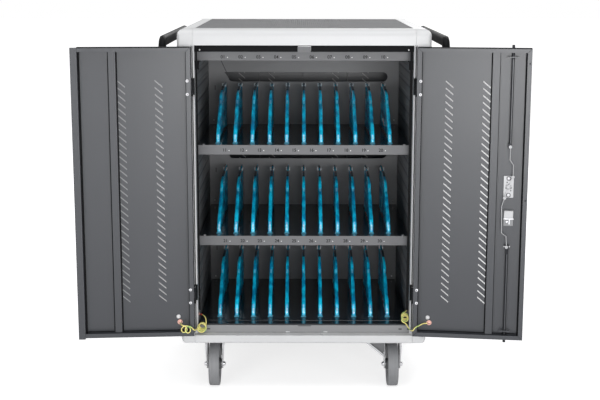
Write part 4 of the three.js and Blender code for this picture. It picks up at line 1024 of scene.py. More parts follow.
def block(shape, grid, x, y, z):
    """A box between pairs of values on a grid."""
    corners = ((x[0], z[0]), (x[1], z[0]), (x[1], z[1]), (x[0], z[1]))
    loft(shape, [[grid(a, depth, b) for a, b in corners] for depth in y])


def strip(shape, grid, start, end, width, y):
    """A thin line of one width on a face, between two (x, z) points, from one depth to another."""
    along = (Vector(end) - Vector(start)).normalized()
    side = Vector((-along.y, along.x)) * width / 2
    corners = (Vector(start) - side, Vector(end) - side, Vector(end) + side, Vector(start) + side)
    loft(shape, [[grid(p.x, depth, p.y) for p in corners] for depth in y])


def fix(name, shape, finish, body, edge=0.0):
    """Turns a shape into a piece that rides on a body, with rounded edges where an edge width is given."""
    piece = new_piece(name, outward(shape), finish)
    if edge:
        soften(piece, edge)
    else:
        piece.data.shade_smooth()
        piece.data.set_sharp_from_angle(angle=math.radians(40))
    return belong(piece, body)


def boxes(name, grid, spans, finish, body, edge=0.0):
    """A piece made of boxes, each given by its three spans on a grid."""
    shape = bmesh.new()
    for x, y, z in spans:
        block(shape, grid, x, y, z)
    return fix(name, shape, finish, body, edge)


def mirrored(side, inner, outer):
    """A span on the left or the right of the cart, for a side of -1 or 1."""
    return sorted((side * inner, side * outer))


print("builders ready")

# %% [markdown]
# ## Screws, rivets and nuts
# A fastener is turned once as a pattern. A second Geometry Nodes tree sets it on points, and turns
# it so that its axis follows the direction stored at each point. Each body gets its own piece.

# %% Fasteners on points
on_points, given, copies = copies_tree("pattern_on_points", (("Points", "Geometry"),))
direction = node(on_points, "GeometryNodeInputNamedAttribute", data_type="FLOAT_VECTOR")
direction.inputs["Name"].default_value = "facing"
turn = node(on_points, "FunctionNodeAlignRotationToVector", axis="Z")
link(on_points, direction, "Attribute", turn, "Vector")
link(on_points, turn, "Rotation", copies, "Rotation")
link(on_points, given, "Points", copies, "Points")


def keep_pattern(name, shape):
    """A shape kept at the origin for a node group to copy."""
    made = new_piece(name, outward(shape))
    made.data.set_sharp_from_angle(angle=math.radians(48))
    return made


def pattern(name, axis, profile, sides=12):
    """A turned part kept at the origin for a node group to copy."""
    shape = bmesh.new()
    turned(shape, Vector(), axis, profile, sides)
    return keep_pattern(name, shape)


def scatter(name, shape, spots, finish, body):
    """Sets a pattern on spots, each a point and the direction that it faces."""
    piece = new_piece(name, bmesh.new())
    piece.data.from_pydata([point for point, _ in spots], [], [])
    stored = piece.data.attributes.new("facing", "FLOAT_VECTOR", "POINT")
    for value, (_, direction) in zip(stored.data, spots):
        value.vector = direction
    run_tree(piece, on_points, Shape=shape, Finish=finish)
    print(name, len(spots), "pieces,", len(piece.data.polygons), "faces")
    return belong(piece, body)


SCREW = [(0, -1), (4.2, -1), (4.2, 0.2), (3.4, 0.85), (1.9, 1.15), (1.5, 0.6), (0, 0.55)]
CAP_NUT = [(0, -0.5), (6, -0.5), (6, 0.8), (5.2, 2.8), (3.4, 4.4), (0, 5.0)]
screw = pattern("screw_pattern", ALONG_Z, SCREW)
rivet = pattern("rivet_pattern", ALONG_Z, [(0, -1), (2.6, -1), (2.6, 0.3), (1.9, 1.1), (0, 1.4)], 10)
cap_nut = pattern("cap_nut_pattern", ALONG_Z, CAP_NUT, 14)
dot = pattern("dot_pattern", ALONG_Z, [(0, -0.3), (1.3, -0.3), (1.3, 0.2), (0, 0.3)], 8)
hole = pattern("hole_pattern", ALONG_Z, [(0, -0.3), (2.2, -0.3), (2.2, 0.1), (0, 0.15)], 10)
print("patterns:", screw.name, rivet.name, cap_nut.name, dot.name, hole.name)

# %% [markdown]
# Four screws hold the hinges on each door's hem, each with a dark dot of painted shade in its
# recess. Rivets sit on the header and the back wall, and screws on the two upper shelves.

# %% Screws on doors and cabinet
TO_FRONT = Vector((0, -1, 0))
HINGE_SCREWS = (888.8, 852.5, 309.3, 272.0)
SCREW_U = 9.3
RECESS = 0.55
HEADER_Y = 25.3
WALL_Y = 542.5
SHELF_TOPS = (191.5, 443.0, 702.3)
for side, grid in FRONT_DOORS:
    body, facing = f"front_door_{side}", door_face[grid]
    spots = [(grid(SCREW_U, DOOR_T, z), facing) for z in HINGE_SCREWS]
    scatter(f"hinge_screws_{side}", screw, spots, zinc_bright, body)
    # A dark dot in each screw's recess is painted shade.
    recess_shade_spots = [(spot + facing * RECESS * MM, facing) for spot, _ in spots]
    scatter(f"screw_recesses_{side}", dot, recess_shade_spots, dark_coat_and_painted_shade, body)
body_spots = [at(x, HEADER_Y, 968.5) for x in (-285, 285)]
body_spots += [at(x, WALL_Y, z) for x in (-268, 268) for z in (955, 1000)]
body_spots += [at(x, WALL_Y, top + 12) for top in SHELF_TOPS for x in (-285, 287)]
scatter("cabinet_screws", rivet, [(spot, TO_FRONT) for spot in body_spots], zinc_bright, "cart")
shelf_spots = [(at(x, 72, top), ALONG_Z) for top in SHELF_TOPS[1:] for x in (-281, 281)]
scatter("shelf_screws", screw, shelf_spots, zinc_bright, "cart")

# %% [markdown]
# ## Door trim
# The hems are folded boxes, so deep dark lines show where a wall of the fold faces away from the
# light. Black strips of painted shade stand for those lines: along the bottom hem, beside the free
# edge, beside the hinge-side hem and on both sides of the stiffener. One more, of painted shade too,
# covers the top edge. Fine mitre lines cross the hem's corners, and two dark discs of painted shade
# stand for two small holes in the right door's hem.

# %% Seals and mitre lines
HEM = 12
STIFFENER = (200.0, 219.0)
FREE_EDGE = {"left": DOOR_W - 1.6, "right": DOOR_W - HEM + 0.9}
FAR_LINE = {"left": 3.6, "right": 1.9}
SHADE_STRIP_V = (1.4, 2.2)
MITRE_V = (DOOR_T - 0.1, DOOR_T + 0.08)
MITRE_OUT, MITRE_IN, MITRE_W = 0.6, HEM - 0.5, 0.7
inner_z = (DOOR_LOW + HEM, DOOR_HIGH - HEM)
# A near-black finish. The door strips, column strips and hole discs made with it are painted shade; it also
# serves the dark mitre lines and the header gasket.
seal_rubber_and_painted_shade = moulded("seal_rubber_and_painted_shade", (0.007, 0.0072, 0.008), 0.7, 900, 0.0002, shine=0.1)
for side, grid in FRONT_DOORS:
    body, free = f"front_door_{side}", FREE_EDGE[side]
    # Black strips of painted shade in the hem and stiffener corners and along the top edge.
    boxes(f"door_seals_{side}", grid, [
        ((HEM, free - 1), SHADE_STRIP_V, (DOOR_LOW + HEM - 0.6, DOOR_LOW + HEM + 2.2)),
        ((free - 4.6, free), SHADE_STRIP_V, (DOOR_LOW + 4, DOOR_HIGH - HEM)),
        ((STIFFENER[0] - 3.4, STIFFENER[0] - 0.05), SHADE_STRIP_V, inner_z),
        ((STIFFENER[1] + 0.05, STIFFENER[1] + FAR_LINE[side]), SHADE_STRIP_V, inner_z),
        ((HEM - 0.4, HEM + 1.6), SHADE_STRIP_V, inner_z),
        ((1, DOOR_W - 1), (1.5, DOOR_T + 0.12), (DOOR_HIGH - 1.6, DOOR_HIGH + 0.7)),
    ], seal_rubber_and_painted_shade, body)
    lines = bmesh.new()
    for z, toward in ((DOOR_HIGH, -1), (DOOR_LOW, 1)):
        outer_z, meeting_z = z + toward * MITRE_OUT, z + toward * MITRE_IN
        strip(lines, grid, (MITRE_OUT, outer_z), (MITRE_IN, meeting_z), MITRE_W, MITRE_V)
        if side == "right":
            free_end = (DOOR_W - MITRE_IN, meeting_z)
            strip(lines, grid, (DOOR_W - MITRE_OUT, outer_z), free_end, MITRE_W, MITRE_V)
    fix(f"hem_mitres_{side}", lines, seal_rubber_and_painted_shade, body)
# Two dark discs of painted shade stand for small holes in the right door's hem.
hem_holes = [(right_door(297, DOOR_T, z), door_face[right_door]) for z in (938.6, 569)]
scatter("hem_holes", hole, hem_holes, seal_rubber_and_painted_shade, "front_door_right")
print("door trim made")

# %% [markdown]
# Thin dust cloth closes the vents. It is sheer, so part of the light from behind comes through: a
# clear shader is mixed in, and on the front doors its share grows toward the right of the cart. The
# share is a colour ramp along x, with four stops.

# %% Dust cloth in the vents
CLOTH_STOPS = (0.03, 0.125, 0.87, 0.97)
VENT_U = (86.5, 187.0)
VENT_HALF = 12.5
VENT_Z = (262, 892)


def sheer_cloth(name, shares):
    """Cloth whose clear share goes through four values from the left of the cart to the right."""
    material, tree, base = shader(name, (0.16, 0.162, 0.168), 0.85)
    weave = noise(tree, 1400, 2)
    tone = ramp(tree, weave, "Fac", 0.3, 0.7, (0.20, 0.202, 0.208), (0.34, 0.342, 0.348))
    link(tree, tone, "Color", base, "Base Color")
    parts = node(tree, "ShaderNodeSeparateXYZ")
    span = node(tree, "ShaderNodeMapRange", From_Min=-0.5, From_Max=0.5)
    link(tree, place(tree), "Object", parts, "Vector")
    link(tree, parts, "X", span, "Value")
    share = ramp(tree, span, "Result", CLOTH_STOPS[0], CLOTH_STOPS[3], [shares[0]] * 3, [shares[3]] * 3)
    for position, value in zip(CLOTH_STOPS[1:3], shares[1:3]):
        share.color_ramp.elements.new(position).color = (value, value, value, 1)
    let_through(tree, base, share, "Color")
    return material


cloth = sheer_cloth("dust_cloth", (0.20, 0.46, 0.54, 0.70))
rear_cloth = sheer_cloth("rear_dust_cloth", (0.15, 0.15, 0.15, 0.15))
for (side, grid), sign in zip(FRONT_DOORS, (-1, 1)):
    sheets = [((u - VENT_HALF, u + VENT_HALF), (0.5, 0.9), VENT_Z) for u in VENT_U]
    boxes(f"vent_cloth_front_{side}", grid, sheets, cloth, f"front_door_{side}")
    sheets = [(mirrored(sign, 60, 285), (696.1, 696.5), VENT_Z)]
    boxes(f"vent_cloth_rear_{side}", at, sheets, rear_cloth, f"rear_door_{side}")
print("dust cloth in the vents of four doors")

# %% [markdown]
# ## Hinges
# Each hinge is a black barrel with a leaf on the column. The barrel has three knuckles with narrow
# rings between them and a domed pin head at each end. Black strips of painted shade run along the
# columns, in the gaps beside the doors, and a small filler closes each lower corner of the opening.

# %% Hinges
HINGE_Z = (869.0, 288.0)
HINGE_H = 46
PIVOT = (305.5, -4.3)
RING_R, KNUCKLE_R, KNUCKLE_ROUND = 4.3, 4.7, 0.4
KNUCKLES = ((0, 14.1), (14.7, 31.3), (31.9, HINGE_H))
COLUMN_Z = (178, 978)
hinge_black = plated("blackened_hinge_steel", (0.018, 0.0185, 0.020), 0.42, (1, 1, 0.1))
barrel = [(0, -1.6), (2.4, -1.6), (2.9, -0.4), (RING_R, 0)]
for low, high in KNUCKLES:
    barrel += [(RING_R, low), (KNUCKLE_R, low + KNUCKLE_ROUND)]
    barrel += [(KNUCKLE_R, high - KNUCKLE_ROUND), (RING_R, high)]
barrel += [(2.9, HINGE_H + 0.4), (2.4, HINGE_H + 1.6), (0, HINGE_H + 1.6)]
hinges = bmesh.new()
for side in (-1, 1):
    for middle in HINGE_Z:
        z = (middle - HINGE_H / 2, middle + HINGE_H / 2)
        turned(hinges, at(side * PIVOT[0], PIVOT[1], z[0]), ALONG_Z, barrel, 18)
        block(hinges, at, mirrored(side, 304.9, 299.2), (23.0, 23.9), z)
        block(hinges, at, mirrored(side, 305.4, 304.1), (-3.5, 23.9), z)
fix("hinge_barrels", hinges, hinge_black, "cart")
# Black strips of painted shade in the gaps beside the doors and along the columns.
column_shade_spans = [((-297.1, -291.8), (24.2, 25.6), (236, 976)), ((289.4, 297.1), (24.2, 25.6), (236, 976))]
corners = []
for side in (-1, 1):
    column_shade_spans.append((mirrored(side, 310.4, 305.8), (-0.8, 0.2), COLUMN_Z))
    column_shade_spans.append((mirrored(side, 306.2, 303.8), (23.2, 24.1), COLUMN_Z))
    corners.append((mirrored(side, 306.4, 298.6), (0.2, 24), (145.4, 168.3)))
boxes("column_gaskets", at, column_shade_spans, seal_rubber_and_painted_shade, "cart")
boxes("corner_fillers", at, corners, frame_coat, "cart", 0.3)
print("hinges:", 2 * len(HINGE_Z))

# %% [markdown]
# ## Earth terminals
# A copper ring lug under a six-sided nut holds each end of a lead, and a red sleeve covers the wire
# where it meets the cabinet. A white cap nut sits above the lug on the door.

# %% Earth terminals
# White nylon for the cap nuts; the same finish paints the highlight dots beside the bay numbers.
white_nylon_and_painted_highlight = moulded("white_nylon_and_painted_highlight", (0.74, 0.74, 0.75), 0.35, 900, 0.00008)
pink_copper = plated("copper_lug", (0.56, 0.33, 0.28), 0.42, (1, 1, 0.2))
sleeve_red = moulded("red_sleeve", (0.50, 0.035, 0.03), 0.45, 900, 0.00005)
SLEEVE = [(0, 0), (2.0, 0), (2.4, 1), (2.4, 12), (2.0, 13), (0, 13)]


def ring_lug(name, centre, facing, body):
    """A ring lug with its nut, flat on a wall that faces one way."""
    shape = bmesh.new()
    turned(shape, centre, facing, [(3.0, 0.1), (7.0, 0.1), (7.0, 1.3), (3.0, 1.3)], 22)
    turned(shape, centre, facing, [(0, 0.2), (4.6, 0.2), (4.6, 2.6), (3.6, 3.6), (1.6, 4.3), (0, 4.4)], 6)
    return fix(name, shape, pink_copper, body)


LUG_SPOT = {"left": (LUG_U, LUG_Z + 2), "right": (LUG_U + 5, LUG_Z + 1.5)}
NUT_SPOT = {"left": (44, 228), "right": (40.6, 226.8)}
for (side, grid), sign in zip(FRONT_DOORS, (-1, 1)):
    path, body, facing = paths[side], f"front_door_{side}", door_face[grid]
    u, z = LUG_SPOT[side]
    door_lug = ring_lug(f"door_lug_{side}", grid(u, SKIN, z), facing, body)
    on_wall = Vector((at(sign * LINER_X, 0, 0).x, path[-1].y, path[-1].z))
    wall_lug = ring_lug(f"wall_lug_{side}", on_wall, -sign * ALONG_X, "cart")
    shape = bmesh.new()
    turned(shape, path[-7], path[-2] - path[-7], SLEEVE, 14)
    sleeve = fix(f"lead_sleeve_{side}", shape, sleeve_red, "cart")
    u, z = NUT_SPOT[side]
    scatter(f"earth_nut_{side}", cap_nut, [(grid(u, SKIN, z), facing)], white_nylon_and_painted_highlight, body)
print("earth terminals made")

# %% [markdown]
# With its lugs made, each lead's tube stands in for the lead of the frame, and its place is baked
# into its mesh.

# %% Leads on the cart
for side, wire in wires.items():
    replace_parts(wire, f"earth_lead_{side}")
    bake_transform(wire)
print("leads declared:", len(wires))

# %% [markdown]
# ## Lock
# The rod lock has a bright base plate with two domed bosses, and a cam lever with a pin at each end.
# The plate's cut-outs, its slot and the rings round the bosses are dark discs a fraction of a
# millimetre high: painted shade in place of openings and grooves.

# %% Lock plate and cam
LOCK_U, LOCK_Z = 252.1, 603.9
PIN_U, PIN_Z = 10.4, 29.1
plate_low, plate_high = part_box("lock_base_plate")
PLATE_Z = (plate_low.z + plate_high.z) / 2 / MM
PLATE_V, PLATE_FACE = 4.9, 5.9
CAM_V = 8.4
BOSS_Z = (PLATE_Z + 23, PLATE_Z - 23)
BOSS = [(0, -0.5), (4.6, -0.5), (4.6, 0.8), (3.6, 1.9), (1.5, 2.3), (0, 1.4)]
BOSS_RING = [(4.7, -0.2), (6.4, -0.2), (6.2, 0.12), (4.7, 0.12)]
CUT_OUTS = ((-4, 12.5, 1.9), (6.5, -3, 2.4), (6.0, -10.5, 1.7), (-6.5, -3.2, 2.2))
CAM = [(0, 0), (7, 0), (7, 1.6), (5.6, 2.6), (3.2, 2.8), (2.8, 1.8), (0, 1.7)]
PIN = [(0, 0), (2.0, 0), (2.0, 7.6), (1.4, 8.2), (0, 8.2)]
LOCK_BODY = "front_door_right"
face = door_face[right_door]
lock_bright = plated("satin_lock_zinc", (0.36, 0.362, 0.37), 0.55, (1, 1, 0.1))
cover = ((LOCK_U - 13.6, LOCK_U + 13.6), (PLATE_V - 0.6, PLATE_FACE), (PLATE_Z - 29.6, PLATE_Z + 29.6))
boxes("lock_plate_cover", right_door, [cover], lock_bright, LOCK_BODY, 0.5)
bosses, cut_out_shade, cam = bmesh.new(), bmesh.new(), bmesh.new()
for z in BOSS_Z:
    turned(bosses, right_door(LOCK_U, PLATE_FACE, z), face, BOSS, 16)
    turned(cut_out_shade, right_door(LOCK_U, PLATE_FACE, z), face, BOSS_RING, 18)
fix("lock_bosses", bosses, zinc_bright, LOCK_BODY)
# Dark discs and a strip of painted shade for the cut-outs and the slot, like the rings round the bosses
# above.
for u, z, radius in CUT_OUTS:
    disc = [(0, -0.2), (radius, -0.2), (radius, 0.12), (0, 0.15)]
    turned(cut_out_shade, right_door(LOCK_U + u, PLATE_FACE, PLATE_Z + z), face, disc, 12)
slot_ends = ((LOCK_U - 6.5, PLATE_Z - 3.6), (LOCK_U + 5.8, PLATE_Z - 5.6))
strip(cut_out_shade, right_door, *slot_ends, 2.0, (PLATE_FACE - 0.2, PLATE_FACE + 0.15))
fix("lock_plate_inlays", cut_out_shade, dark_coat_and_painted_shade, LOCK_BODY)
turned(cam, right_door(LOCK_U, CAM_V, LOCK_Z), face, CAM, 20)
for end in (-1, 1):
    pin = (LOCK_U + end * PIN_U, LOCK_Z + end * PIN_Z)
    strip(cam, right_door, (LOCK_U, LOCK_Z), pin, 2.0, (CAM_V + 0.4, CAM_V + 1.6))
    turned(cam, right_door(pin[0], CAM_V + 0.4, pin[1]), face, PIN, 12)
cam_lever = fix("cam_lever", cam, lock_bright, body_of("lock_cam"), 0.2)
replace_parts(cam_lever, "lock_cam")
print("lock plate and cam made")

# %% [markdown]
# Below the plate sits the bolt block with its bright trim. A short bar crosses the lock's line
# farther down, and a narrow grey strip along each rod's front is a painted highlight.

# %% Bolt block and rods
BLOCK_LOW, BLOCK_HIGH = 497.5, 539.0
BLOCK_U = LOCK_U + 2
BOLT_HEAD = [(0, 0), (3.0, 0), (3.0, 1), (2.2, 1.8), (0, 2.0)]
ROD_U, ROD_FRONT = LOCK_U + 0.9, 16.0
ROD_HIGHLIGHTS = {"upper": (724, 950), "lower": (205, 418)}
lock_dull = plated("dull_lock_zinc", (0.20, 0.202, 0.208), 0.55, (1, 1, 0.1))
cover = ((BLOCK_U - 12, BLOCK_U + 12), (3, 15.2), (BLOCK_LOW + 20.5, BLOCK_HIGH - 0.6))
boxes("bolt_block_cover", right_door, [cover], lock_bright, LOCK_BODY, 0.4)
foot = ((BLOCK_U - 13, BLOCK_U + 12.4), (3, 14.4), (BLOCK_LOW, BLOCK_LOW + 18))
boxes("bolt_block_foot", right_door, [foot], lock_dull, LOCK_BODY, 0.4)
trim = bmesh.new()
block(trim, right_door, (BLOCK_U - 13.4, BLOCK_U + 14), (14, 16.4), (BLOCK_LOW + 18, BLOCK_LOW + 20.4))
block(trim, right_door, (BLOCK_U + 1, BLOCK_U + 3.4), (13, 15.6), (BLOCK_LOW + 4, BLOCK_LOW + 18.2))
turned(trim, right_door(BLOCK_U - 4.5, 14.2, BLOCK_LOW + 11), face, BOLT_HEAD, 14)
fix("bolt_block_trim", trim, zinc_bright, LOCK_BODY, 0.3)
bar = ((LOCK_U - 9, LOCK_U + 9), (13.0, 15.2), (437.6, 441.4))
boxes("rod_cross_bar", right_door, [bar], lock_bright, LOCK_BODY, 0.4)
# A grey strip in the door coat along each black rod is a painted highlight.
for end, z in ROD_HIGHLIGHTS.items():
    flat = ((ROD_U - 0.7, ROD_U + 1.5), (ROD_FRONT - 1.2, ROD_FRONT + 0.1), z)
    boxes(f"rod_flat_{end}", right_door, [flat], door_coat_and_rod_highlight, body_of(f"lock_rod_{end}"))
print("bolt block and rods made")

# %% [markdown]
# ## Casters
# The tyre is turned from a crowned profile, and the core is a dark moulding with a hub and pressed
# bosses. The fork is bent from sheet: two cheeks that taper to the axle, flanges along their front
# edges and a crown above. A dark sheet behind the wheel is painted shade in the gaps between the
# cheeks and the tyre. Domed nuts close the axle, and a bright rim edges the brake pedal.

# %% Casters
HALF_TYRE = [
    (45, -11.0), (52, -13.6), (57, -15.2), (60, -15.0), (61.7, -13.6), (62.4, -11.2), (62.5, -8.0),
    (62.2, -7.6), (62.2, -7.2), (62.5, -6.8),
]
HALF_CORE = [(7.2, -19.2), (15, -19.2), (16.5, -17.6), (18.5, -9.5), (38, -8.5), (41, -9.4), (45.2, -10.8)]
TYRE, CORE = ([*half, *((r, -h) for r, h in reversed(half))] for half in (HALF_TYRE, HALF_CORE))
CHEEK_IN, CHEEK_OUT = 20.5, 23.5
SPOKES, SPOKE_R, SPOKE_OUT = 6, 28, 8.0
SPOKE_BOSS = [(0, 0), (6.2, 0), (5.2, 2.6), (0, 3.0)]
AXLE_NUT = [(0, -6), (7.6, -6), (7.6, 0.6), (6.8, 1.0), (6.6, 3.0), (5.4, 5.6), (3.2, 7.2), (0, 7.8)]
tread_rubber = moulded("grey_tread_rubber", (0.225, 0.229, 0.238), 0.62, 700, 0.0002)
wheel_core = moulded("wheel_core_plastic", (0.050, 0.051, 0.054), 0.45, 900, 0.0001)
fork_zinc = powder_coat("satin_fork_zinc", (0.56, 0.565, 0.58), 0.30, 700, 0.06)


def fork_shape(hub, lean):
    """The sheet of a fork about a hub, and a dark sheet of painted shade behind the wheel; lean says to
    which side along y its crown lies.
    """
    def grid(x, y, z):
        return hub + Vector((x, lean * y, z)) * MM

    sheet, web = bmesh.new(), bmesh.new()
    foot = [(-13.5 * math.cos(a), -13.5 * math.sin(a)) for a in (math.pi * k / 8 for k in range(9))]
    cheek = [(-14, 8), *foot, (30, 22), (70, 58), (70, 70.5), (14, 70.5), (-2, 50)]
    flange = [(20.6, -14.5, 4), (23.6, -14.5, 4), (28.6, -4, 70), (21.4, -4, 70)]
    for side in (-1, 1):
        loft(sheet, [[grid(side * x, y, z) for y, z in cheek] for x in (CHEEK_IN, CHEEK_OUT)])
        loft(sheet, [[grid(side * x, y + push, z) for x, y, z in flange] for push in (0, 2)])
    block(sheet, grid, (-CHEEK_OUT, CHEEK_OUT), (14, 70), (65.5, 70.5))
    # A dark sheet of painted shade behind the wheel, for the gaps between the cheeks and the tyre.
    web_corners = [(-20.4, 70.4), (20.4, 70.4), (16.5, 4), (-16.5, 4)]
    loft(web, [[grid(x, y, z) for x, z in web_corners] for y in (64.5, 66.5)])
    return sheet, web


for corner in CASTERS:
    wheel_node, fork_node = f"caster_wheel_{corner}", f"caster_fork_{corner}"
    hub = sum(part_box(wheel_node), Vector()) / 2
    tyre, core, nuts = bmesh.new(), bmesh.new(), bmesh.new()
    turned(tyre, hub, ALONG_X, TYRE, 72)
    turned(core, hub, ALONG_X, CORE, 48)
    for side in (-1, 1):
        outside = side * ALONG_X
        turned(nuts, hub + outside * CHEEK_OUT * MM, outside, AXLE_NUT, 24)
        for spoke in range(SPOKES):
            angle = 2 * math.pi * spoke / SPOKES
            across = Vector((0, math.cos(angle), math.sin(angle)))
            turned(core, hub + across * SPOKE_R * MM + outside * SPOKE_OUT * MM, outside, SPOKE_BOSS, 12)
    lean = 1 if sum(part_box(fork_node), Vector()).y / 2 > hub.y else -1
    sheet, web = fork_shape(hub, lean)
    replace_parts(fix(f"tyre_{corner}", tyre, tread_rubber, wheel_node), wheel_node)
    fix(f"wheel_core_{corner}", core, wheel_core, wheel_node)
    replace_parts(fix(f"fork_{corner}", sheet, fork_zinc, body_of(fork_node), 0.4), fork_node)
    # The dark sheet behind the wheel is painted shade.
    fix(f"fork_web_{corner}", web, dark_coat_and_painted_shade, body_of(fork_node), 0.4)
    fix(f"axle_nuts_{corner}", nuts, zinc_bright, body_of(fork_node))
pedal_y = (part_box("brake_pedal")[0].y - FRONT_Y) / MM
rim = bmesh.new()
strip(rim, at, (175.5, 136.5), (231.5, 91.5), 6.4, (pedal_y - 0.9, pedal_y + 0.4))
fix("pedal_rim", rim, fork_zinc, body_of("brake_pedal"), 0.3)
print("casters:", len(CASTERS))

# %% [markdown]
# ## Top
# The top is covered by a ribbed rubber mat. It is one long profile of fine ribs, drawn out from the
# front edge to the back, so each rib catches the light as it does on real matting.

# %% Ribbed mat
RIB_PITCH, RIB_DEPTH = 6.0, 0.7
mat_rubber = moulded("mat_rubber", (0.122, 0.124, 0.129), 0.66, 700, 0.0002, 0.05, 0.25)
mat_low, mat_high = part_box("top_mat")
groove_z = mat_high.z - RIB_DEPTH * MM
rib_count = round((mat_high.x - mat_low.x) / (RIB_PITCH * MM))
step = (mat_high.x - mat_low.x) / rib_count
profile = [(mat_low.x, mat_low.z)]
for k in range(rib_count):
    for share, z in ((0.1, groove_z), (0.25, mat_high.z), (0.75, mat_high.z), (0.9, groove_z)):
        profile.append((mat_low.x + step * (k + share), z))
profile.append((mat_high.x, mat_low.z))
mat_shape = bmesh.new()
loft(mat_shape, [[Vector((x, y, z)) for x, z in profile] for y in (mat_low.y, mat_high.y)])
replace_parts(fix("ribbed_mat", mat_shape, mat_rubber, "cart"), "top_mat")
print("mat with", rib_count, "ribs")

# %% [markdown]
# ## Numbers and wall details
# The bays are numbered on the header and on the shelf lips. A number is a text object turned into a
# mesh and laid on the sheet, with a small white dot beside it that is a painted highlight.

# %% Numbers
DIGIT_SIZE, DIGIT_WEIGHT, DIGIT_HEIGHT = 12.5, 0.22, 0.12
LIP_Y = 60.0
BAYS = 10
NUMBER_ROWS = ((HEADER_Y, 949.5), (LIP_Y, 688.3), (LIP_Y, 429.0))
print_ink = moulded("print_ink", (0.006, 0.006, 0.0065), 0.6, 900, 0.00002, shine=0.15)
digits = bmesh.new()
highlight_spots = []
for row, (depth, height) in enumerate(NUMBER_ROWS):
    for bay in range(BAYS):
        bay_x = (bay - (BAYS - 1) / 2) * BAY_PITCH
        label = bpy.data.curves.new("bay_number", "FONT")
        label.body = f"{row * BAYS + bay + 1:02d}"
        label.size = DIGIT_SIZE * MM
        label.offset = DIGIT_WEIGHT * MM
        label.extrude = DIGIT_HEIGHT * MM
        label.resolution_u = 3
        holder = bpy.data.objects.new("bay_number", label)
        flat = bpy.data.meshes.new_from_object(holder)
        spot = at(bay_x - 9.5, depth - 0.05, height - 4.3)
        flat.transform(Matrix.Translation(spot) @ Matrix.Rotation(math.pi / 2, 4, "X"))
        digits.from_mesh(flat)
        bpy.data.meshes.remove(flat)
        bpy.data.objects.remove(holder)
        bpy.data.curves.remove(label)
        # A white dot beside each number is a painted highlight.
        highlight_spots.append((at(bay_x + 9.2, depth, height - 1.5), TO_FRONT))
fix("bay_numbers", digits, print_ink, "cart")
scatter("bay_dots", dot, highlight_spots, white_nylon_and_painted_highlight, "cart")

# %% [markdown]
# The back wall has slots for cable clips and a slanting seam, and the liners have dark lines under
# their ribs. The sill has slots, a notch and two clips. A stop pad and a dark gasket sit at the
# header. The dark marks for the slots and the notch, and the lines under the ribs, are painted shade.

# %% Wall and sill details
LINER_RIB_FIRST, LINER_RIB_STEP, LINER_RIBS = 38.4, 39.2, 5
CLIP_SLOT_Z = (817, 553, 297)
SILL_Y = (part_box("shelf_lower")[0].y - FRONT_Y) / MM - 0.4
sill_mark_y = (SILL_Y - 0.2, SILL_Y + 0.3)
sill_coat = powder_coat("sill_powder_coat", (0.235, 0.236, 0.242), 0.42, 1300, 0.04)
boxes(
    "sill_plate", at, [((-299, 299), (SILL_Y, SILL_Y + 0.6), (169.0, 191.0))],
    sill_coat, "cart", 0.2,
)
apron = ((-298.4, 298.4), (27.5, 60.4), (191.3, 194.7))
boxes("lower_shelf_apron", at, [apron], tray_plastic, "cart")
marks = bmesh.new()
# Dark marks of painted shade for the clip slots in the back wall; the slanting strip below is a dark seam.
for z in CLIP_SLOT_Z:
    block(marks, at, (-281.4, -278.8), (WALL_Y - 0.6, WALL_Y + 0.1), (z - 7, z + 7))
strip(marks, at, (-262.5, 906), (-236, 850), 2.4, (WALL_Y - 0.4, WALL_Y + 0.1))
# Dark lines of painted shade under the liner ribs.
for top in SHELF_TOPS:
    for k in range(LINER_RIBS):
        under = top + LINER_RIB_FIRST + k * LINER_RIB_STEP
        for side in (-1, 1):
            block(marks, at, mirrored(side, 299.9, 300.8), (102, 520), (under - 5.0, under))
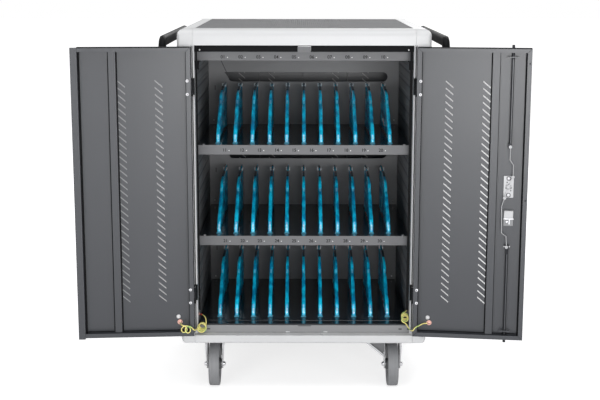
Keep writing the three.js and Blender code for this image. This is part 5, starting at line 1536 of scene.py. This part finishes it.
# Dark marks of painted shade for the sill's slots and notch.
for x in (-270, 274, 298):
    block(marks, at, (x - 4.5, x + 4.5), sill_mark_y, (178.6, 182.4))
block(marks, at, (-16, 21), sill_mark_y, (188.4, 190.6))
fix("wall_slots", marks, dark_coat_and_painted_shade, "cart")
clips = [((x - 6, x + 6), (SILL_Y - 0.4, SILL_Y + 0.3), (170.5, 173.0)) for x in (-45, 61.5)]
boxes("sill_clips", at, clips, zinc_bright, "cart", 0.2)
stop = ((-16.8, 18.6), (25.8, 28.8), (966.5, 979.0))
boxes("door_stop_pad", at, [stop], fork_zinc, "cart", 0.6)
gasket = [((-299, 299), (27.2, 28.4), (963.3, 981))]
for side in (-1, 1):
    gasket.append((mirrored(side, 298.5, 287), (30, 33), (914, 936.5)))
    gasket.append((mirrored(side, 298.5, 283), (26.6, 33), (936, 938.5)))
boxes("header_gasket", at, gasket, seal_rubber_and_painted_shade, "cart", 0.3)
print("wall and sill details made")

# %% [markdown]
# ## Sockets and inlet
# Each socket strip has ten outlets toward the rear. An outlet is a round well with two contact holes,
# drawn as black discs of painted shade; both are turned once and set in rows by the same node group
# as the dividers. The mains inlet in the right side has three flat contact blades.

# %% Sockets and inlet
TO_REAR = Vector((0, 1, 0))
WELL = [(0, -0.5), (14.4, -0.5), (14.4, 8.4), (13.2, 9.4), (12.2, 8.6), (11.8, 2.6), (0, 2.4)]
WELL_DEPTH, CONTACT_Y, CONTACT_X = 12, 2.2, 7.6
outlet = pattern("outlet_pattern", TO_REAR, WELL, 24)
holes = bmesh.new()
for x in (-CONTACT_X, CONTACT_X):
    turned(holes, Vector((x, CONTACT_Y, 0)) * MM, TO_REAR, [(0, 0), (2.6, 0), (2.6, 0.5), (0, 0.5)], 12)
contacts = keep_pattern("contact_pattern", holes)
# The contact holes are black discs of painted shade.
socket_rows = (("outlets", outlet, socket_plastic), ("contact_holes", contacts, seal_rubber_and_painted_shade))
for level in LEVELS:
    low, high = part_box(f"socket_strip_{level}")
    start = (MID_X - (BAYS - 1) / 2 * BAY_PITCH * MM, high.y - WELL_DEPTH * MM, (low.z + high.z) / 2)
    for title, shape, finish in socket_rows:
        row = row_of(f"{title}_{level}", shape, finish, BAYS, start)
        belong(row, body_of(f"socket_strip_{level}"))
BLADES = ((592.5, 228), (600, 233), (607.5, 228))
blades = [((325.5, 338), (y - 1, y + 1), (z - 2.6, z + 2.6)) for y, z in BLADES]
boxes("inlet_blades", at, blades, zinc_bright, "cart", 0.3)
for made in (outlet, contacts, screw, rivet, cap_nut, dot, hole):
    bpy.data.objects.remove(made)
print("outlets:", BAYS * len(LEVELS))
